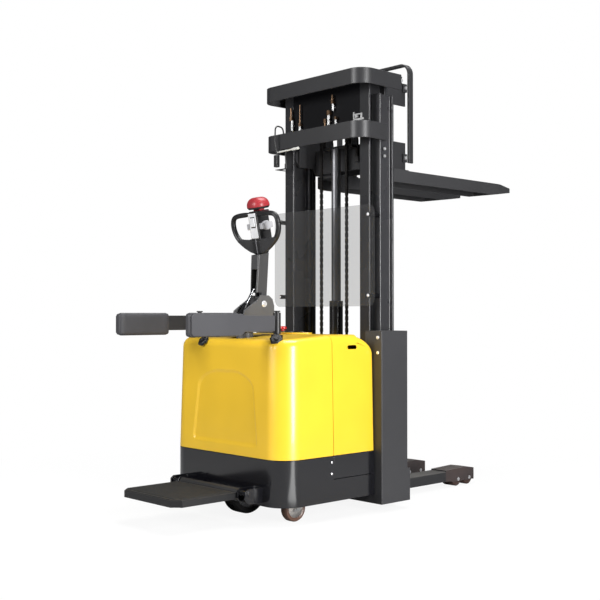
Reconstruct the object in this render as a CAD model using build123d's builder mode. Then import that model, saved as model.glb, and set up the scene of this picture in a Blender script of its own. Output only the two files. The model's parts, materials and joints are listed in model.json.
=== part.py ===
"""Rider stacker: power stacker with fold-down platform, swing-out arms and a two-stage mast.

Millimetres. X points to the truck's right, Y towards the fork tips, Z up from the floor.
The origin is on the floor under the middle of the whole truck. The carriage stands near the
top of its free lift and the inner mast is fully lowered.
"""

import os
from math import cos, hypot, radians, sin, tan

from build123d import *

os.makedirs("parts", exist_ok=True)

# ---------------------------------------------------------------- driving dimensions
OVERALL_LENGTH = 2460.0
REAR_END = -OVERALL_LENGTH / 2
FORK_TIP = OVERALL_LENGTH / 2
SIDES = {"left": -1, "right": 1}

# base frame and columns
COLUMN_OUTER = 473.0
COLUMN_INNER = 362.0
FRAME_REAR = -174.0
FRAME_FRONT = 18.0
FRAME_LOW = 40.0
BEAM_TOP = 150.0
COLUMN_TOP = 890.0
FRAME_WALL = 8.0

# support legs and load wheels
LEG_CENTRE = 181.0
LEG_HALF = 53.0
LEG_LOW = 35.0
LEG_TOP = 92.0
LEG_END = 640.0
LEG_TIP = 867.0
LOAD_WHEEL_RADIUS = 40.0
LOAD_WHEEL_WIDTH = 82.0
LOAD_AXLES = {"rear": 727.0, "front": 827.0}
LOAD_AXLE_RADIUS = 10.0

# body shell
BODY_HALF = 427.0
BODY_REAR = -785.0
BODY_FRONT = -180.0
BODY_CORNER = 115.0
SKIRT_LOW = 85.0
SKIRT_TOP = 301.0
SKIRT_WALL = 6.0
HOOD_LOW = 303.0
HOOD_TOP = 874.0
HOOD_WALL = 4.0
HOOD_TAPER = 1.3
BROW_RADIUS = 125.0
SEAM = -460.0
SEAM_GAP = 1.5
DECK_TOP = 300.0

# drive unit
STEER_Y = -652.0
DRIVE_RADIUS = 115.0
DRIVE_WIDTH = 76.0

# casters
CASTER_X = 322.0
CASTER_Y = -597.0
CASTER_TRAIL = 28.0
CASTER_RADIUS = 62.5
CASTER_WIDTH = 44.0

# mast
OUTER_RAIL = {"x": (290.0, 350.0), "web": (324.0, 334.0), "y": (-50.0, 55.0)}
INNER_RAIL = {"x": (250.0, 318.0), "web": (274.0, 284.0), "y": (-96.0, 33.0)}
FLANGE = 15.0
OUTER_RAIL_TOP = 2100.0
INNER_RAIL_LOW = 160.0
INNER_RAIL_TOP = 2190.0
CROWN_BAR = 10.0
LIFT_X = 274.0
LIFT_Y = 68.0
FREE_LIFT_Y = -16.0
FREE_LIFT_TOP = 1044.0
CROSSHEAD_LOW = 1856.0
CHAIN_X = 95.0
SPROCKET_Y = 7.0
SPROCKET_Z = 1900.0
CHAIN_FOOT = 865.0
CHAIN_PITCH_RADIUS = 40.0

# carriage and forks
FORK_TOP = 1738.0
HEEL_TOP = 1742.0
FORK_CENTRE = 186.0
FORK_WIDTH = 170.0
FORK_HEEL = 98.0
FORK_DEPTH = 66.0
SIDE_PLATE = (238.0, 247.0)
BACKREST_OUTER = 272.0
BACKREST_TOP = 2322.0

# platform
PLATFORM_HALF = 220.0
PLATFORM_TOP = 158.0
PLATFORM_PIN = (-866.0, 150.0)
PLATFORM_PIN_RADIUS = 12.0

# side arms
ARM_X = 296.0
ARM_Y = -704.0
ARM_POST_RADIUS = 11.0

# tiller: the arm stands almost upright over its pivot, the head leans back from the arm
PIVOT = (-566.0, 1024.0)
ARM_LEAN = -3.0
HEAD_LEAN = 12.0
ARM_LENGTH = 250.0
HEAD_HEIGHT = 214.0
HEAD_HALF = 184.0
HEAD_THICKNESS = 28.0
POD_HALF = 33.0
POD_REAR = 16.0
POD_FRONT = -70.0
THROTTLE_LEVEL = 138.0
ROCKER_LEVEL = 160.0
HORN_LEVEL = 150.0
BUTTON_LEVEL = 222.0
BUTTON_BACK = -38.0
SPRING_FOOT = (-706.0, 919.0)
SPRING_EYE = (-595.9, 1098.3)

CLEARANCE = 0.3


# ---------------------------------------------------------------- shared shapes
def finish(part, name):
    """Label a finished sub-part and write it."""
    part.label = name
    export_step(part, f"parts/{name}.step")


def span(sign, inner, outer):
    """Give the (low, high) pair of an interval mirrored to one side of the truck."""
    return tuple(sorted((sign * inner, sign * outer)))


def block(x, y, z, mode=Mode.ADD):
    """Add a box that spans the (low, high) pairs x, y and z."""
    with Locations(((x[0] + x[1]) / 2, (y[0] + y[1]) / 2, (z[0] + z[1]) / 2)):
        Box(x[1] - x[0], y[1] - y[0], z[1] - z[0], mode=mode)


def bar(start, direction, radius, length, mode=Mode.ADD):
    """Add a round bar that runs from start along direction."""
    with Locations(Plane(origin=start, z_dir=direction)):
        Cylinder(radius, length, align=(Align.CENTER, Align.CENTER, Align.MIN), mode=mode)


def side_plate(points, x, mode=Mode.ADD):
    """Add a plate between two x values whose outline is given as (y, z) points."""
    with BuildSketch(Plane.YZ.offset(x[0])) as outline:
        with BuildLine():
            Polyline(*points, close=True)
        make_face()
    extrude(outline.sketch, amount=x[1] - x[0], mode=mode)


def body_plan(level, inset):
    """Sketch the body's plan at a level: rear corners rounded, open towards the mast."""
    length = 900.0
    with BuildSketch(Plane.XY.offset(level)) as plan:
        with Locations((0, BODY_REAR + length / 2)):
            RectangleRounded(2 * (BODY_HALF - inset), length - 2 * inset, BODY_CORNER - inset)
    return plan.sketch


def crown(half_width, rear, front, low, high, corner):
    """Add a flat bar bent to a U around the back of the mast."""
    depth = 2 * (front - rear)
    with BuildSketch(Plane.XY.offset(low)) as outline:
        with Locations((0, rear + depth / 2)):
            RectangleRounded(2 * half_width, depth, corner)
            RectangleRounded(
                2 * (half_width - CROWN_BAR), depth - 2 * CROWN_BAR, corner - CROWN_BAR, mode=Mode.SUBTRACT
            )
        with Locations((0, front + depth / 2)):
            Rectangle(2 * half_width + 2, depth, mode=Mode.SUBTRACT)
    extrude(outline.sketch, amount=high - low)


def mast_rail(sign, rail, low, high):
    """Add one H-section mast rail on one side of the truck."""
    rear, front = rail["y"]
    block(span(sign, *rail["x"]), (rear, rear + FLANGE), (low, high))
    block(span(sign, *rail["x"]), (front - FLANGE, front), (low, high))
    block(span(sign, *rail["web"]), (rear, front), (low, high))


def wheel(centre, radius, width, bore, crown_radius):
    """Add a wheel that turns about X, with rounded shoulders and a bore."""
    with BuildPart(mode=Mode.PRIVATE) as turned:
        with Locations(Plane(origin=centre, z_dir=(1, 0, 0))):
            Cylinder(radius, width)
        fillet(turned.edges().filter_by(GeomType.CIRCLE), crown_radius)
        with Locations(Plane(origin=centre, z_dir=(1, 0, 0))):
            Cylinder(bore, width, mode=Mode.SUBTRACT)
    add(turned.part)


# ---------------------------------------------------------------- base frame and legs
with BuildPart() as base_frame:
    for sign in SIDES.values():
        block(span(sign, COLUMN_INNER, COLUMN_OUTER), (FRAME_REAR, FRAME_FRONT), (FRAME_LOW, COLUMN_TOP))
        block(span(sign, COLUMN_INNER, COLUMN_OUTER), (FRAME_FRONT, FRAME_FRONT + 20), (FRAME_LOW, 200))
    block((-COLUMN_INNER, COLUMN_INNER), (FRAME_REAR, FRAME_FRONT), (FRAME_LOW, BEAM_TOP))
    outer_edges = base_frame.edges().filter_by(Axis.Z).filter_by(lambda e: abs(e.center().X) > 470)
    fillet(outer_edges, 4)
    for sign in SIDES.values():
        block(
            span(sign, COLUMN_INNER + FRAME_WALL, COLUMN_OUTER - FRAME_WALL),
            (FRAME_REAR + FRAME_WALL, FRAME_FRONT - FRAME_WALL),
            (FRAME_LOW, COLUMN_TOP - FRAME_WALL),
            mode=Mode.SUBTRACT,
        )
        block(span(sign, 250, COLUMN_INNER), (FRAME_FRONT, 95), (110, BEAM_TOP))
    block(
        (-COLUMN_INNER, COLUMN_INNER),
        (FRAME_REAR + FRAME_WALL, FRAME_FRONT - FRAME_WALL),
        (FRAME_LOW, BEAM_TOP - FRAME_WALL),
        mode=Mode.SUBTRACT,
    )
finish(base_frame.part, "base_frame")

HEAD_PROFILE = ((616, LEG_LOW), (616, 98), (790, 104), (LEG_TIP, 92), (LEG_TIP, 28), (680, 28), (650, LEG_LOW))
for side, sign in SIDES.items():
    leg_x = span(sign, LEG_CENTRE - LEG_HALF, LEG_CENTRE + LEG_HALF)
    wheel_gap = span(sign, LEG_CENTRE - LEG_HALF + 10, LEG_CENTRE + LEG_HALF - 10)
    with BuildPart() as leg:
        block(leg_x, (FRAME_FRONT, LEG_END), (LEG_LOW, LEG_TOP))
        fillet(leg.edges().filter_by(Axis.Y), 5)
        side_plate(HEAD_PROFILE, leg_x)
        block(
            span(sign, LEG_CENTRE - LEG_HALF + 6, LEG_CENTRE + LEG_HALF - 6),
            (FRAME_FRONT + 8, LEG_END),
            (LEG_LOW + 6, LEG_TOP - 6),
            mode=Mode.SUBTRACT,
        )
        block(wheel_gap, (LEG_END, LEG_TIP + 1), (0, 84.5), mode=Mode.SUBTRACT)
        for axle_y in LOAD_AXLES.values():
            axle_end = (leg_x[0], axle_y, LOAD_WHEEL_RADIUS)
            bar(axle_end, (1, 0, 0), LOAD_AXLE_RADIUS + 0.2, 2 * LEG_HALF, Mode.SUBTRACT)
    finish(leg.part, f"leg_{side}")

for side, sign in SIDES.items():
    for place, axle_y in LOAD_AXLES.items():
        with BuildPart() as load_wheel:
            wheel(
                (sign * LEG_CENTRE, axle_y, LOAD_WHEEL_RADIUS),
                LOAD_WHEEL_RADIUS,
                LOAD_WHEEL_WIDTH,
                LOAD_AXLE_RADIUS + CLEARANCE,
                4,
            )
        finish(load_wheel.part, f"load_wheel_{side}_{place}")

# ---------------------------------------------------------------- body: skirt, plates, contents
with BuildPart() as skirt:
    extrude(body_plan(SKIRT_LOW, 0), amount=SKIRT_TOP - SKIRT_LOW)
    extrude(body_plan(SKIRT_LOW, SKIRT_WALL), amount=SKIRT_TOP - SKIRT_LOW, mode=Mode.SUBTRACT)
    block((-500, 500), (FRAME_REAR - 4, 400), (0, 400), mode=Mode.SUBTRACT)
    block((400, 440), (SEAM + SEAM_GAP - 0.5, 0), (190, 310), mode=Mode.SUBTRACT)
finish(skirt.part, "skirt")

with BuildPart() as chassis_plates:
    extrude(body_plan(DECK_TOP - 10, SKIRT_WALL), amount=10)
    block((-500, 500), (SEAM - 2, 400), (DECK_TOP - 10, DECK_TOP), mode=Mode.SUBTRACT)
    bar((0, STEER_Y, DECK_TOP - 10), (0, 0, 1), 114, 10, Mode.SUBTRACT)
    block((-400, 400), (SEAM - 8, SEAM - 2), (100, 620))
    block((-400, 400), (SEAM - 8, FRAME_REAR), (100, 108))
    for sign in SIDES.values():
        block(span(sign, CASTER_X - 40, CASTER_X + 40), (CASTER_Y - 40, CASTER_Y + 40), (150, DECK_TOP - 10))
        bar((sign * CASTER_X, CASTER_Y, 150), (0, 0, 1), 8 + CLEARANCE, 60, Mode.SUBTRACT)
finish(chassis_plates.part, "chassis_plates")

with BuildPart() as battery:
    block((-375, 375), (-450, -186), (108, 600))
    fillet(battery.edges().filter_by(Axis.Z), 10)
    with Locations((0, -318, 600)):
        with GridLocations(124, 120, 6, 2):
            Cylinder(22, 14, align=(Align.CENTER, Align.CENTER, Align.MIN))
finish(battery.part, "battery")

with BuildPart() as power_pack:
    block((-370, -190), (-720, -560), (DECK_TOP, 450))
    fillet(power_pack.edges().filter_by(Axis.Z), 14)
    bar((-280, -640, 450), (0, 0, 1), 55, 190)
finish(power_pack.part, "power_pack")


def hood_solid(inset):
    """Give the closed block of the hood: tapered plan, rounded top edges, front top corner."""
    top = HOOD_TOP - inset
    rear_top = HOOD_TOP - 22 - inset
    brow = BROW_RADIUS - inset
    front = BODY_FRONT - inset
    with BuildPart() as solid:
        extrude(body_plan(HOOD_LOW, inset), amount=HOOD_TOP - HOOD_LOW, taper=HOOD_TAPER)
        with BuildSketch(Plane.YZ) as profile:
            with BuildLine():
                Polyline((-900, HOOD_LOW), (-900, rear_top - 8), (SEAM, top), (front - brow, top))
                RadiusArc((front - brow, top), (front, top - brow), brow)
                Polyline((front, top - brow), (front, HOOD_LOW), (-900, HOOD_LOW))
            make_face()
        extrude(profile.sketch, amount=BODY_HALF + 5, both=True, mode=Mode.INTERSECT)
        rim = solid.edges().filter_by(lambda e: e.center().Z > top - 140 and abs(e.center().X) > 200)
        rear = solid.edges().filter_by(lambda e: e.center().Z > top - 140 and e.center().Y < -700)
        fillet(ShapeList(set(rim + rear)), 42 - inset)
    return solid.part


def door_solid(inset):
    """Give the closed block behind the side door: flat drafted side, rounded brow and rim."""
    top = HOOD_TOP - inset
    front = BODY_FRONT - inset
    brow = BROW_RADIUS - inset
    foot_x = BODY_HALF - inset
    rear = SEAM + SEAM_GAP
    with BuildPart() as solid:
        with BuildSketch(Plane.YZ.offset(300)) as profile:
            with BuildLine():
                Polyline((rear, HOOD_LOW), (rear, top), (front - brow, top))
                RadiusArc((front - brow, top), (front, top - brow), brow)
                Polyline((front, top - brow), (front, HOOD_LOW), (rear, HOOD_LOW))
            make_face()
        extrude(profile.sketch, amount=200)
        with BuildSketch(Plane.XZ.offset(1000)) as draft:
            with BuildLine():
                Polyline(
                    (foot_x, HOOD_LOW), (foot_x - tan(radians(HOOD_TAPER)) * (1000 - HOOD_LOW), 1000),
                    (600, 1000), (600, HOOD_LOW), close=True,
                )
            make_face()
        extrude(draft.sketch, amount=-2000, mode=Mode.SUBTRACT)
        rim = solid.edges().filter_by(
            lambda e: e.center().X > 380 and e.center().Z > top - 140 and e.center().Y > SEAM + 10
        )
        fillet(rim, 42 - inset)
    return solid.part


hood_outer = hood_solid(0)
hood_inner = hood_solid(HOOD_WALL)
DOOR_INNER = 380.0

with BuildPart() as hood_rear:
    add(hood_outer)
    add(hood_inner, mode=Mode.SUBTRACT)
    block((-500, 500), (SEAM - SEAM_GAP, 100), (0, 1000), mode=Mode.SUBTRACT)
    bar((0, STEER_Y, 800), (0, 0, 1), 70, 100, Mode.SUBTRACT)
finish(hood_rear.part, "hood_rear")

with BuildPart() as hood_front:
    add(hood_outer)
    add(hood_inner, mode=Mode.SUBTRACT)
    block((-500, 500), (-1000, SEAM + SEAM_GAP), (0, 1000), mode=Mode.SUBTRACT)
    block((DOOR_INNER, 500), (-1000, 100), (0, 1000), mode=Mode.SUBTRACT)
finish(hood_front.part, "hood_front")

with BuildPart() as battery_door:
    add(door_solid(0))
    add(door_solid(HOOD_WALL), mode=Mode.SUBTRACT)
    block((-500, DOOR_INNER + 2), (-1000, 100), (0, 1000), mode=Mode.SUBTRACT)
    block((BODY_HALF - SKIRT_WALL, BODY_HALF), (SEAM + SEAM_GAP, BODY_FRONT), (192, HOOD_LOW))
    with BuildSketch(Plane.YZ.offset(DOOR_INNER)) as slot:
        with Locations((-323, 813)):
            SlotOverall(64, 20)
    extrude(slot.sketch, amount=60, mode=Mode.SUBTRACT)
finish(battery_door.part, "battery_door")

PANEL_X = 65.0
PANEL_Y = -372.0
with BuildPart() as instrument_panel:
    with BuildSketch(Plane.XY.offset(HOOD_TOP)) as oval:
        with Locations((PANEL_X, PANEL_Y)):
            Ellipse(105, 55)
    extrude(oval.sketch, amount=7)
    fillet(instrument_panel.edges().group_by(Axis.Z)[-1], 3)
    bar((PANEL_X - 40, PANEL_Y, HOOD_TOP), (0, 0, 1), 26, 11)
    bar((PANEL_X + 48, PANEL_Y, HOOD_TOP), (0, 0, 1), 16, 12)
    bar((PANEL_X + 48, PANEL_Y, HOOD_TOP + 2), (0, 0, 1), 6 + CLEARANCE, 20, Mode.SUBTRACT)
    bar((-112, -298, HOOD_TOP), (0, 0, 1), 24, 12)
    bar((-112, -298, HOOD_TOP + 2), (0, 0, 1), 9 + CLEARANCE, 20, Mode.SUBTRACT)
finish(instrument_panel.part, "instrument_panel")

with BuildPart() as estop_button:
    bar((-112, -298, HOOD_TOP + 8), (0, 0, 1), 9, 16)
    bar((-112, -298, HOOD_TOP + 20), (0, 0, 1), 20, 16)
    fillet(estop_button.edges().group_by(Axis.Z)[-1], 6)
finish(estop_button.part, "estop_button")

# ---------------------------------------------------------------- casters
for side, sign in SIDES.items():
    x = sign * CASTER_X
    wheel_y = CASTER_Y - CASTER_TRAIL
    with BuildPart() as caster_fork:
        bar((x, CASTER_Y, 135), (0, 0, 1), 34, 14)
        bar((x, CASTER_Y, 149), (0, 0, 1), 8, 45)
        block((x - 29, x + 29), (wheel_y - 20, CASTER_Y + 22), (128, 135))
        for cheek in (-29, 24):
            side_plate(
                ((CASTER_Y + 22, 135), (wheel_y - 20, 135), (wheel_y - 16, 50), (wheel_y + 16, 50)),
                (x + cheek, x + cheek + 5),
            )
        bar((x - 33, wheel_y, CASTER_RADIUS), (1, 0, 0), 8, 66)
    finish(caster_fork.part, f"caster_fork_{side}")
    with BuildPart() as caster_wheel:
        wheel((x, wheel_y, CASTER_RADIUS), CASTER_RADIUS, CASTER_WIDTH, 8 + CLEARANCE, 6)
    finish(caster_wheel.part, f"caster_wheel_{side}")

# ---------------------------------------------------------------- drive and steering
with BuildPart() as gearbox:
    bar((0, STEER_Y, DECK_TOP + 0.5), (0, 0, 1), 122, 12)
    bar((0, STEER_Y, 262), (0, 0, 1), 112, 40)
    block((-90, -46), (STEER_Y - 62, STEER_Y + 62), (56, 270))
    fillet(gearbox.edges().filter_by(Axis.X).group_by(Axis.Z)[0], 30)
    bar((-60, STEER_Y, DRIVE_RADIUS), (1, 0, 0), 22, 98)
finish(gearbox.part, "gearbox")

with BuildPart() as drive_wheel:
    wheel((0, STEER_Y, DRIVE_RADIUS), DRIVE_RADIUS, DRIVE_WIDTH, 22 + CLEARANCE, 8)
finish(drive_wheel.part, "drive_wheel")

with BuildPart() as drive_motor:
    bar((0, STEER_Y, DECK_TOP + 12.5), (0, 0, 1), 75, 240)
    fillet(drive_motor.edges().group_by(Axis.Z)[-1], 12)
finish(drive_motor.part, "drive_motor")

CHEEK_PROFILE = (
    (-690, 890), (-497, 890), (-497, 1015), (-508, 1048), (-532, 1066), (-586, 1066), (-604, 1044),
    (-650, 1016), (-688, 990), (-697, 955),
)
with BuildPart() as steer_yoke:
    bar((0, STEER_Y, DECK_TOP + 252.5), (0, 0, 1), 42, 885 - DECK_TOP - 252.5)
    with BuildSketch(Plane.XY.offset(885)) as yoke_plan:
        with Locations((0, -602)):
            RectangleRounded(124, 252, 40)
    extrude(yoke_plan.sketch, amount=13)
    for cheek in (-44, 33):
        side_plate(CHEEK_PROFILE, (cheek, cheek + 11))
    block((-16, 16), (SPRING_FOOT[0] - 16, SPRING_FOOT[0] + 12), (898, SPRING_FOOT[1] + 4))
    bar((-48, *PIVOT), (1, 0, 0), 10, 96)
finish(steer_yoke.part, "steer_yoke")

# ---------------------------------------------------------------- gas spring
spring_run = (SPRING_EYE[0] - SPRING_FOOT[0], SPRING_EYE[1] - SPRING_FOOT[1])
SPRING_LENGTH = hypot(*spring_run)
SPRING_DIRECTION = (0, spring_run[0] / SPRING_LENGTH, spring_run[1] / SPRING_LENGTH)


def along_spring(distance):
    """Give the point at a distance from the gas spring's foot."""
    return (0, SPRING_FOOT[0] + SPRING_DIRECTION[1] * distance, SPRING_FOOT[1] + SPRING_DIRECTION[2] * distance)


with BuildPart() as gas_spring:
    bar(along_spring(14), SPRING_DIRECTION, 13, 106)
    bar(along_spring(22), SPRING_DIRECTION, 6 + CLEARANCE, 110, Mode.SUBTRACT)
finish(gas_spring.part, "gas_spring")

with BuildPart() as gas_rod:
    bar(along_spring(112), SPRING_DIRECTION, 6, SPRING_LENGTH - 112)
finish(gas_rod.part, "gas_rod")

# ---------------------------------------------------------------- tiller arm, head, controls
def leaning(origin, angle, x, height, back):
    """Give a point beside a line that leans back from origin by an angle in degrees."""
    lean = radians(angle)
    return (
        x,
        origin[0] - sin(lean) * height - cos(lean) * back,
        origin[1] + cos(lean) * height - sin(lean) * back,
    )


def on_arm(x, height, back=0.0):
    """Give a point beside the arm's centre line, measured from its pivot."""
    return leaning(PIVOT, ARM_LEAN, x, height, back)


HEAD_FOOT = on_arm(0, ARM_LENGTH)[1:]
HEAD_UP = (0, -sin(radians(HEAD_LEAN)), cos(radians(HEAD_LEAN)))
HEAD_BACK = (0, -cos(radians(HEAD_LEAN)), -sin(radians(HEAD_LEAN)))


def on_head(x, height, back=0.0):
    """Give a point beside the head's centre line, measured from the top of the arm."""
    return leaning(HEAD_FOOT, HEAD_LEAN, x, height, back)


def arm_plane(height, back=0.0):
    """Give the plane square to the arm at a height above the pivot, X to the right."""
    up = (0, -sin(radians(ARM_LEAN)), cos(radians(ARM_LEAN)))
    return Plane(origin=on_arm(0, height, back), x_dir=(1, 0, 0), z_dir=up)


def head_level(height, back=0.0):
    """Give the plane square to the head's own height, X to the right."""
    return Plane(origin=on_head(0, height, back), x_dir=(1, 0, 0), z_dir=HEAD_UP)


def head_face(back=0.0):
    """Give the plane of the head's rear face, X to the right and height upwards."""
    return Plane(origin=on_head(0, 0, back), x_dir=(1, 0, 0), z_dir=HEAD_BACK)


with BuildPart() as tiller_arm:
    with BuildSketch(arm_plane(0)) as section:
        Rectangle(52, 70)
    extrude(section.sketch, amount=ARM_LENGTH + 30)
    fillet(tiller_arm.edges().filter_by(lambda e: e.length > 200), 8)
    with BuildSketch(head_level(0)) as top_cut:
        Rectangle(200, 200)
    extrude(top_cut.sketch, amount=80, mode=Mode.SUBTRACT)
    with BuildSketch(arm_plane(-1, 31)) as heel_cut:
        Rectangle(60, 60)
    extrude(heel_cut.sketch, amount=56, mode=Mode.SUBTRACT)
    bar((-31, *PIVOT), (1, 0, 0), 28, 62)
    with BuildSketch(arm_plane(36, 10)) as channel:
        Rectangle(38, 60)
    extrude(channel.sketch, amount=134, mode=Mode.SUBTRACT)
    bar((-32, *PIVOT), (1, 0, 0), 10 + CLEARANCE, 64, Mode.SUBTRACT)
finish(tiller_arm.part, "tiller_arm")

with BuildPart() as tiller_head:
    with BuildSketch(head_face()) as shield:
        with BuildLine():
            Line((0, 0), (28, 0))
            ThreePointArc((28, 0), (117, 45), (168, 90))
            ThreePointArc((168, 90), (HEAD_HALF, 142), (174, 186))
            ThreePointArc((174, 186), (161, 206), (136, HEAD_HEIGHT))
            Line((136, HEAD_HEIGHT), (0, HEAD_HEIGHT))
            mirror(about=Plane.YZ)
        make_face()
        for sign in (-1, 1):
            with BuildLine(mode=Mode.PRIVATE) as window:
                FilletPolyline(
                    (sign * 34, 82), (sign * 114, 84), (sign * 151, 134), (sign * 150, 185), (sign * 34, 185),
                    radius=13, close=True,
                )
            make_face(window.edges(), mode=Mode.SUBTRACT)
    extrude(shield.sketch, amount=HEAD_THICKNESS / 2, both=True)
    with BuildSketch(head_face(POD_REAR)) as pod:
        with Locations((0, 36)):
            RectangleRounded(2 * POD_HALF, 72, 8)
        with Locations((0, 139)):
            RectangleRounded(2 * POD_HALF, 138, 8)
    extrude(pod.sketch, amount=POD_FRONT - POD_REAR)
    with BuildSketch(head_face(-37)) as throat:
        with Locations((0, 30)):
            Rectangle(80, 62)
    extrude(throat.sketch, amount=POD_FRONT + 36, mode=Mode.SUBTRACT)
    for sign in (-1, 1):
        bar(on_head(sign * 24, THROTTLE_LEVEL, -28), (sign, 0, 0), 5 + CLEARANCE, 14, Mode.SUBTRACT)
    bar(on_head(HEAD_HALF - 20, HORN_LEVEL), (1, 0, 0), 6 + CLEARANCE, 30, Mode.SUBTRACT)
    with BuildSketch(head_face(POD_REAR - 10)) as pocket:
        with Locations((0, ROCKER_LEVEL)):
            Rectangle(34, 50)
    extrude(pocket.sketch, amount=12, mode=Mode.SUBTRACT)
    with BuildSketch(head_level(BUTTON_LEVEL - 44, BUTTON_BACK)) as well:
        Rectangle(46, 36)
    extrude(well.sketch, amount=50, mode=Mode.SUBTRACT)
finish(tiller_head.part, "tiller_head")

with BuildPart() as belly_button:
    with BuildSketch(head_level(BUTTON_LEVEL, BUTTON_BACK)) as cap:
        RectangleRounded(112, 104, 36)
    extrude(cap.sketch, amount=58)
    fillet(belly_button.faces().sort_by(Axis.Z)[-1].edges(), 30)
    with BuildSketch(head_level(BUTTON_LEVEL - 28, BUTTON_BACK)) as stem:
        Rectangle(44, 34)
    extrude(stem.sketch, amount=29)
finish(belly_button.part, "belly_button")

with BuildPart() as throttle:
    for sign in (-1, 1):
        bar(on_head(sign * 35, THROTTLE_LEVEL, -28), (sign, 0, 0), 20, 24)
        bar(on_head(sign * 26, THROTTLE_LEVEL, -28), (sign, 0, 0), 5, 10)
        wing_origin = on_head(sign * 37, THROTTLE_LEVEL, -28)
        with BuildSketch(Plane(origin=wing_origin, x_dir=HEAD_BACK, z_dir=(sign, 0, 0))) as wing:
            SlotOverall(72, 16)
        extrude(wing.sketch, amount=20)
finish(throttle.part, "throttle")

with BuildPart() as lift_rocker:
    with BuildSketch(head_face(POD_REAR - 4)) as key_plan:
        with Locations((0, ROCKER_LEVEL)):
            RectangleRounded(30, 44, 6)
    extrude(key_plan.sketch, amount=8)
    bar(on_head(-16.5, ROCKER_LEVEL, POD_REAR - 4), (1, 0, 0), 3, 33)
finish(lift_rocker.part, "lift_rocker")

with BuildPart() as horn_button:
    bar(on_head(HEAD_HALF - 14, HORN_LEVEL), (1, 0, 0), 6, 30)
finish(horn_button.part, "horn_button")

# ---------------------------------------------------------------- platform
with BuildPart() as platform_brackets:
    for sign in SIDES.values():
        block(span(sign, 226, 290), (-793, BODY_REAR), (103, 173))
        for cheek in (226, 280):
            side_plate(
                ((BODY_REAR, 103), (BODY_REAR, 173), (-872, 173), (-890, 160), (-890, 128), (-872, 103)),
                span(sign, cheek, cheek + 10),
            )
    bar((-294, *PLATFORM_PIN), (1, 0, 0), PLATFORM_PIN_RADIUS, 588)
finish(platform_brackets.part, "platform_brackets")

with BuildPart() as platform_deck:
    with BuildSketch(Plane.XY.offset(PLATFORM_TOP - 37)) as deck_plan:
        with Locations((0, (REAR_END - 892) / 2)):
            Rectangle(2 * PLATFORM_HALF, -892 - REAR_END)
        chamfer(deck_plan.vertices().group_by(Axis.Y)[0], 38)
    extrude(deck_plan.sketch, amount=31)
    pan_half = PLATFORM_HALF - 8
    block((-pan_half, pan_half), (REAR_END + 8, -893), (0, PLATFORM_TOP - 14), mode=Mode.SUBTRACT)
    for rib in (-130, 0, 130):
        block((rib - 4, rib + 4), (REAR_END + 2, -893), (PLATFORM_TOP - 37, PLATFORM_TOP - 12))
    block((-PLATFORM_HALF, PLATFORM_HALF), (-900, -878), (PLATFORM_TOP - 30, PLATFORM_TOP - 6))
    tube_end = (-PLATFORM_HALF, *PLATFORM_PIN)
    bar(tube_end, (1, 0, 0), 20, 2 * PLATFORM_HALF)
    bar(tube_end, (1, 0, 0), PLATFORM_PIN_RADIUS + CLEARANCE, 2 * PLATFORM_HALF, Mode.SUBTRACT)
finish(platform_deck.part, "platform_deck")

with BuildPart() as platform_mat:
    with BuildSketch(Plane.XY.offset(PLATFORM_TOP - 6)) as mat_plan:
        with Locations((0, (REAR_END - 900) / 2)):
            Rectangle(2 * PLATFORM_HALF - 16, -908 - REAR_END)
        chamfer(mat_plan.vertices().group_by(Axis.Y)[0], 34)
    extrude(mat_plan.sketch, amount=6)
finish(platform_mat.part, "platform_mat")

# ---------------------------------------------------------------- side arms
with BuildPart() as arm_posts:
    for sign in SIDES.values():
        bar((sign * ARM_X, ARM_Y, 862), (0, 0, 1), 28, 14)
        bar((sign * ARM_X, ARM_Y, 862), (0, 0, 1), ARM_POST_RADIUS, 126)
        bar((sign * ARM_X, ARM_Y, 984), (0, 0, 1), 16, 5)
finish(arm_posts.part, "arm_posts")

ARM_NARROW = (893.0, 966.0)
ARM_WIDE = (876.0, 974.0)
PAD_REAR = -1209.0
PAD_FRONT = -919.0
for side, sign in SIDES.items():
    with BuildPart() as side_arm:
        bar((sign * ARM_X, ARM_Y, 880), (0, 0, 1), 18, 100)
        block(span(sign, 291, 301), (-915, ARM_Y), ARM_NARROW)
        side_plate(
            (
                (-900, ARM_NARROW[0]), (-920, ARM_WIDE[0]), (-1192, ARM_WIDE[0]), (-1202, ARM_WIDE[0] + 10),
                (-1202, ARM_WIDE[1] - 10), (-1192, ARM_WIDE[1]), (-920, ARM_WIDE[1]), (-900, ARM_NARROW[1]),
            ),
            span(sign, 291, 301),
        )
        bar((sign * ARM_X, ARM_Y, 870), (0, 0, 1), ARM_POST_RADIUS + CLEARANCE, 120, Mode.SUBTRACT)
    finish(side_arm.part, f"side_arm_{side}")
    with BuildPart() as arm_pad:
        block(span(sign, 254, 291), (PAD_REAR, PAD_FRONT), (870, 980))
        fillet(arm_pad.edges().filter_by(Axis.X), 16)
        fillet(arm_pad.faces().sort_by(Axis.X)[0 if sign > 0 else -1].edges(), 9)
    finish(arm_pad.part, f"arm_pad_{side}")

# ---------------------------------------------------------------- outer mast
with BuildPart() as outer_rails:
    for sign in SIDES.values():
        mast_rail(sign, OUTER_RAIL, BEAM_TOP, OUTER_RAIL_TOP)
finish(outer_rails.part, "outer_rails")

with BuildPart() as outer_crown:
    crown(371, -214, -15, 1858, 1943, 42)
    for sign in SIDES.values():
        block(span(sign, 350, 361), (-50, -15), (1858, 1943))
finish(outer_crown.part, "outer_crown")

with BuildPart() as lift_barrels:
    for sign in SIDES.values():
        bar((sign * LIFT_X, LIFT_Y, BEAM_TOP), (0, 0, 1), 20, OUTER_RAIL_TOP - BEAM_TOP)
        bar((sign * LIFT_X, LIFT_Y, 180), (0, 0, 1), 13 + CLEARANCE, OUTER_RAIL_TOP - 180, Mode.SUBTRACT)
finish(lift_barrels.part, "lift_barrels")

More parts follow.
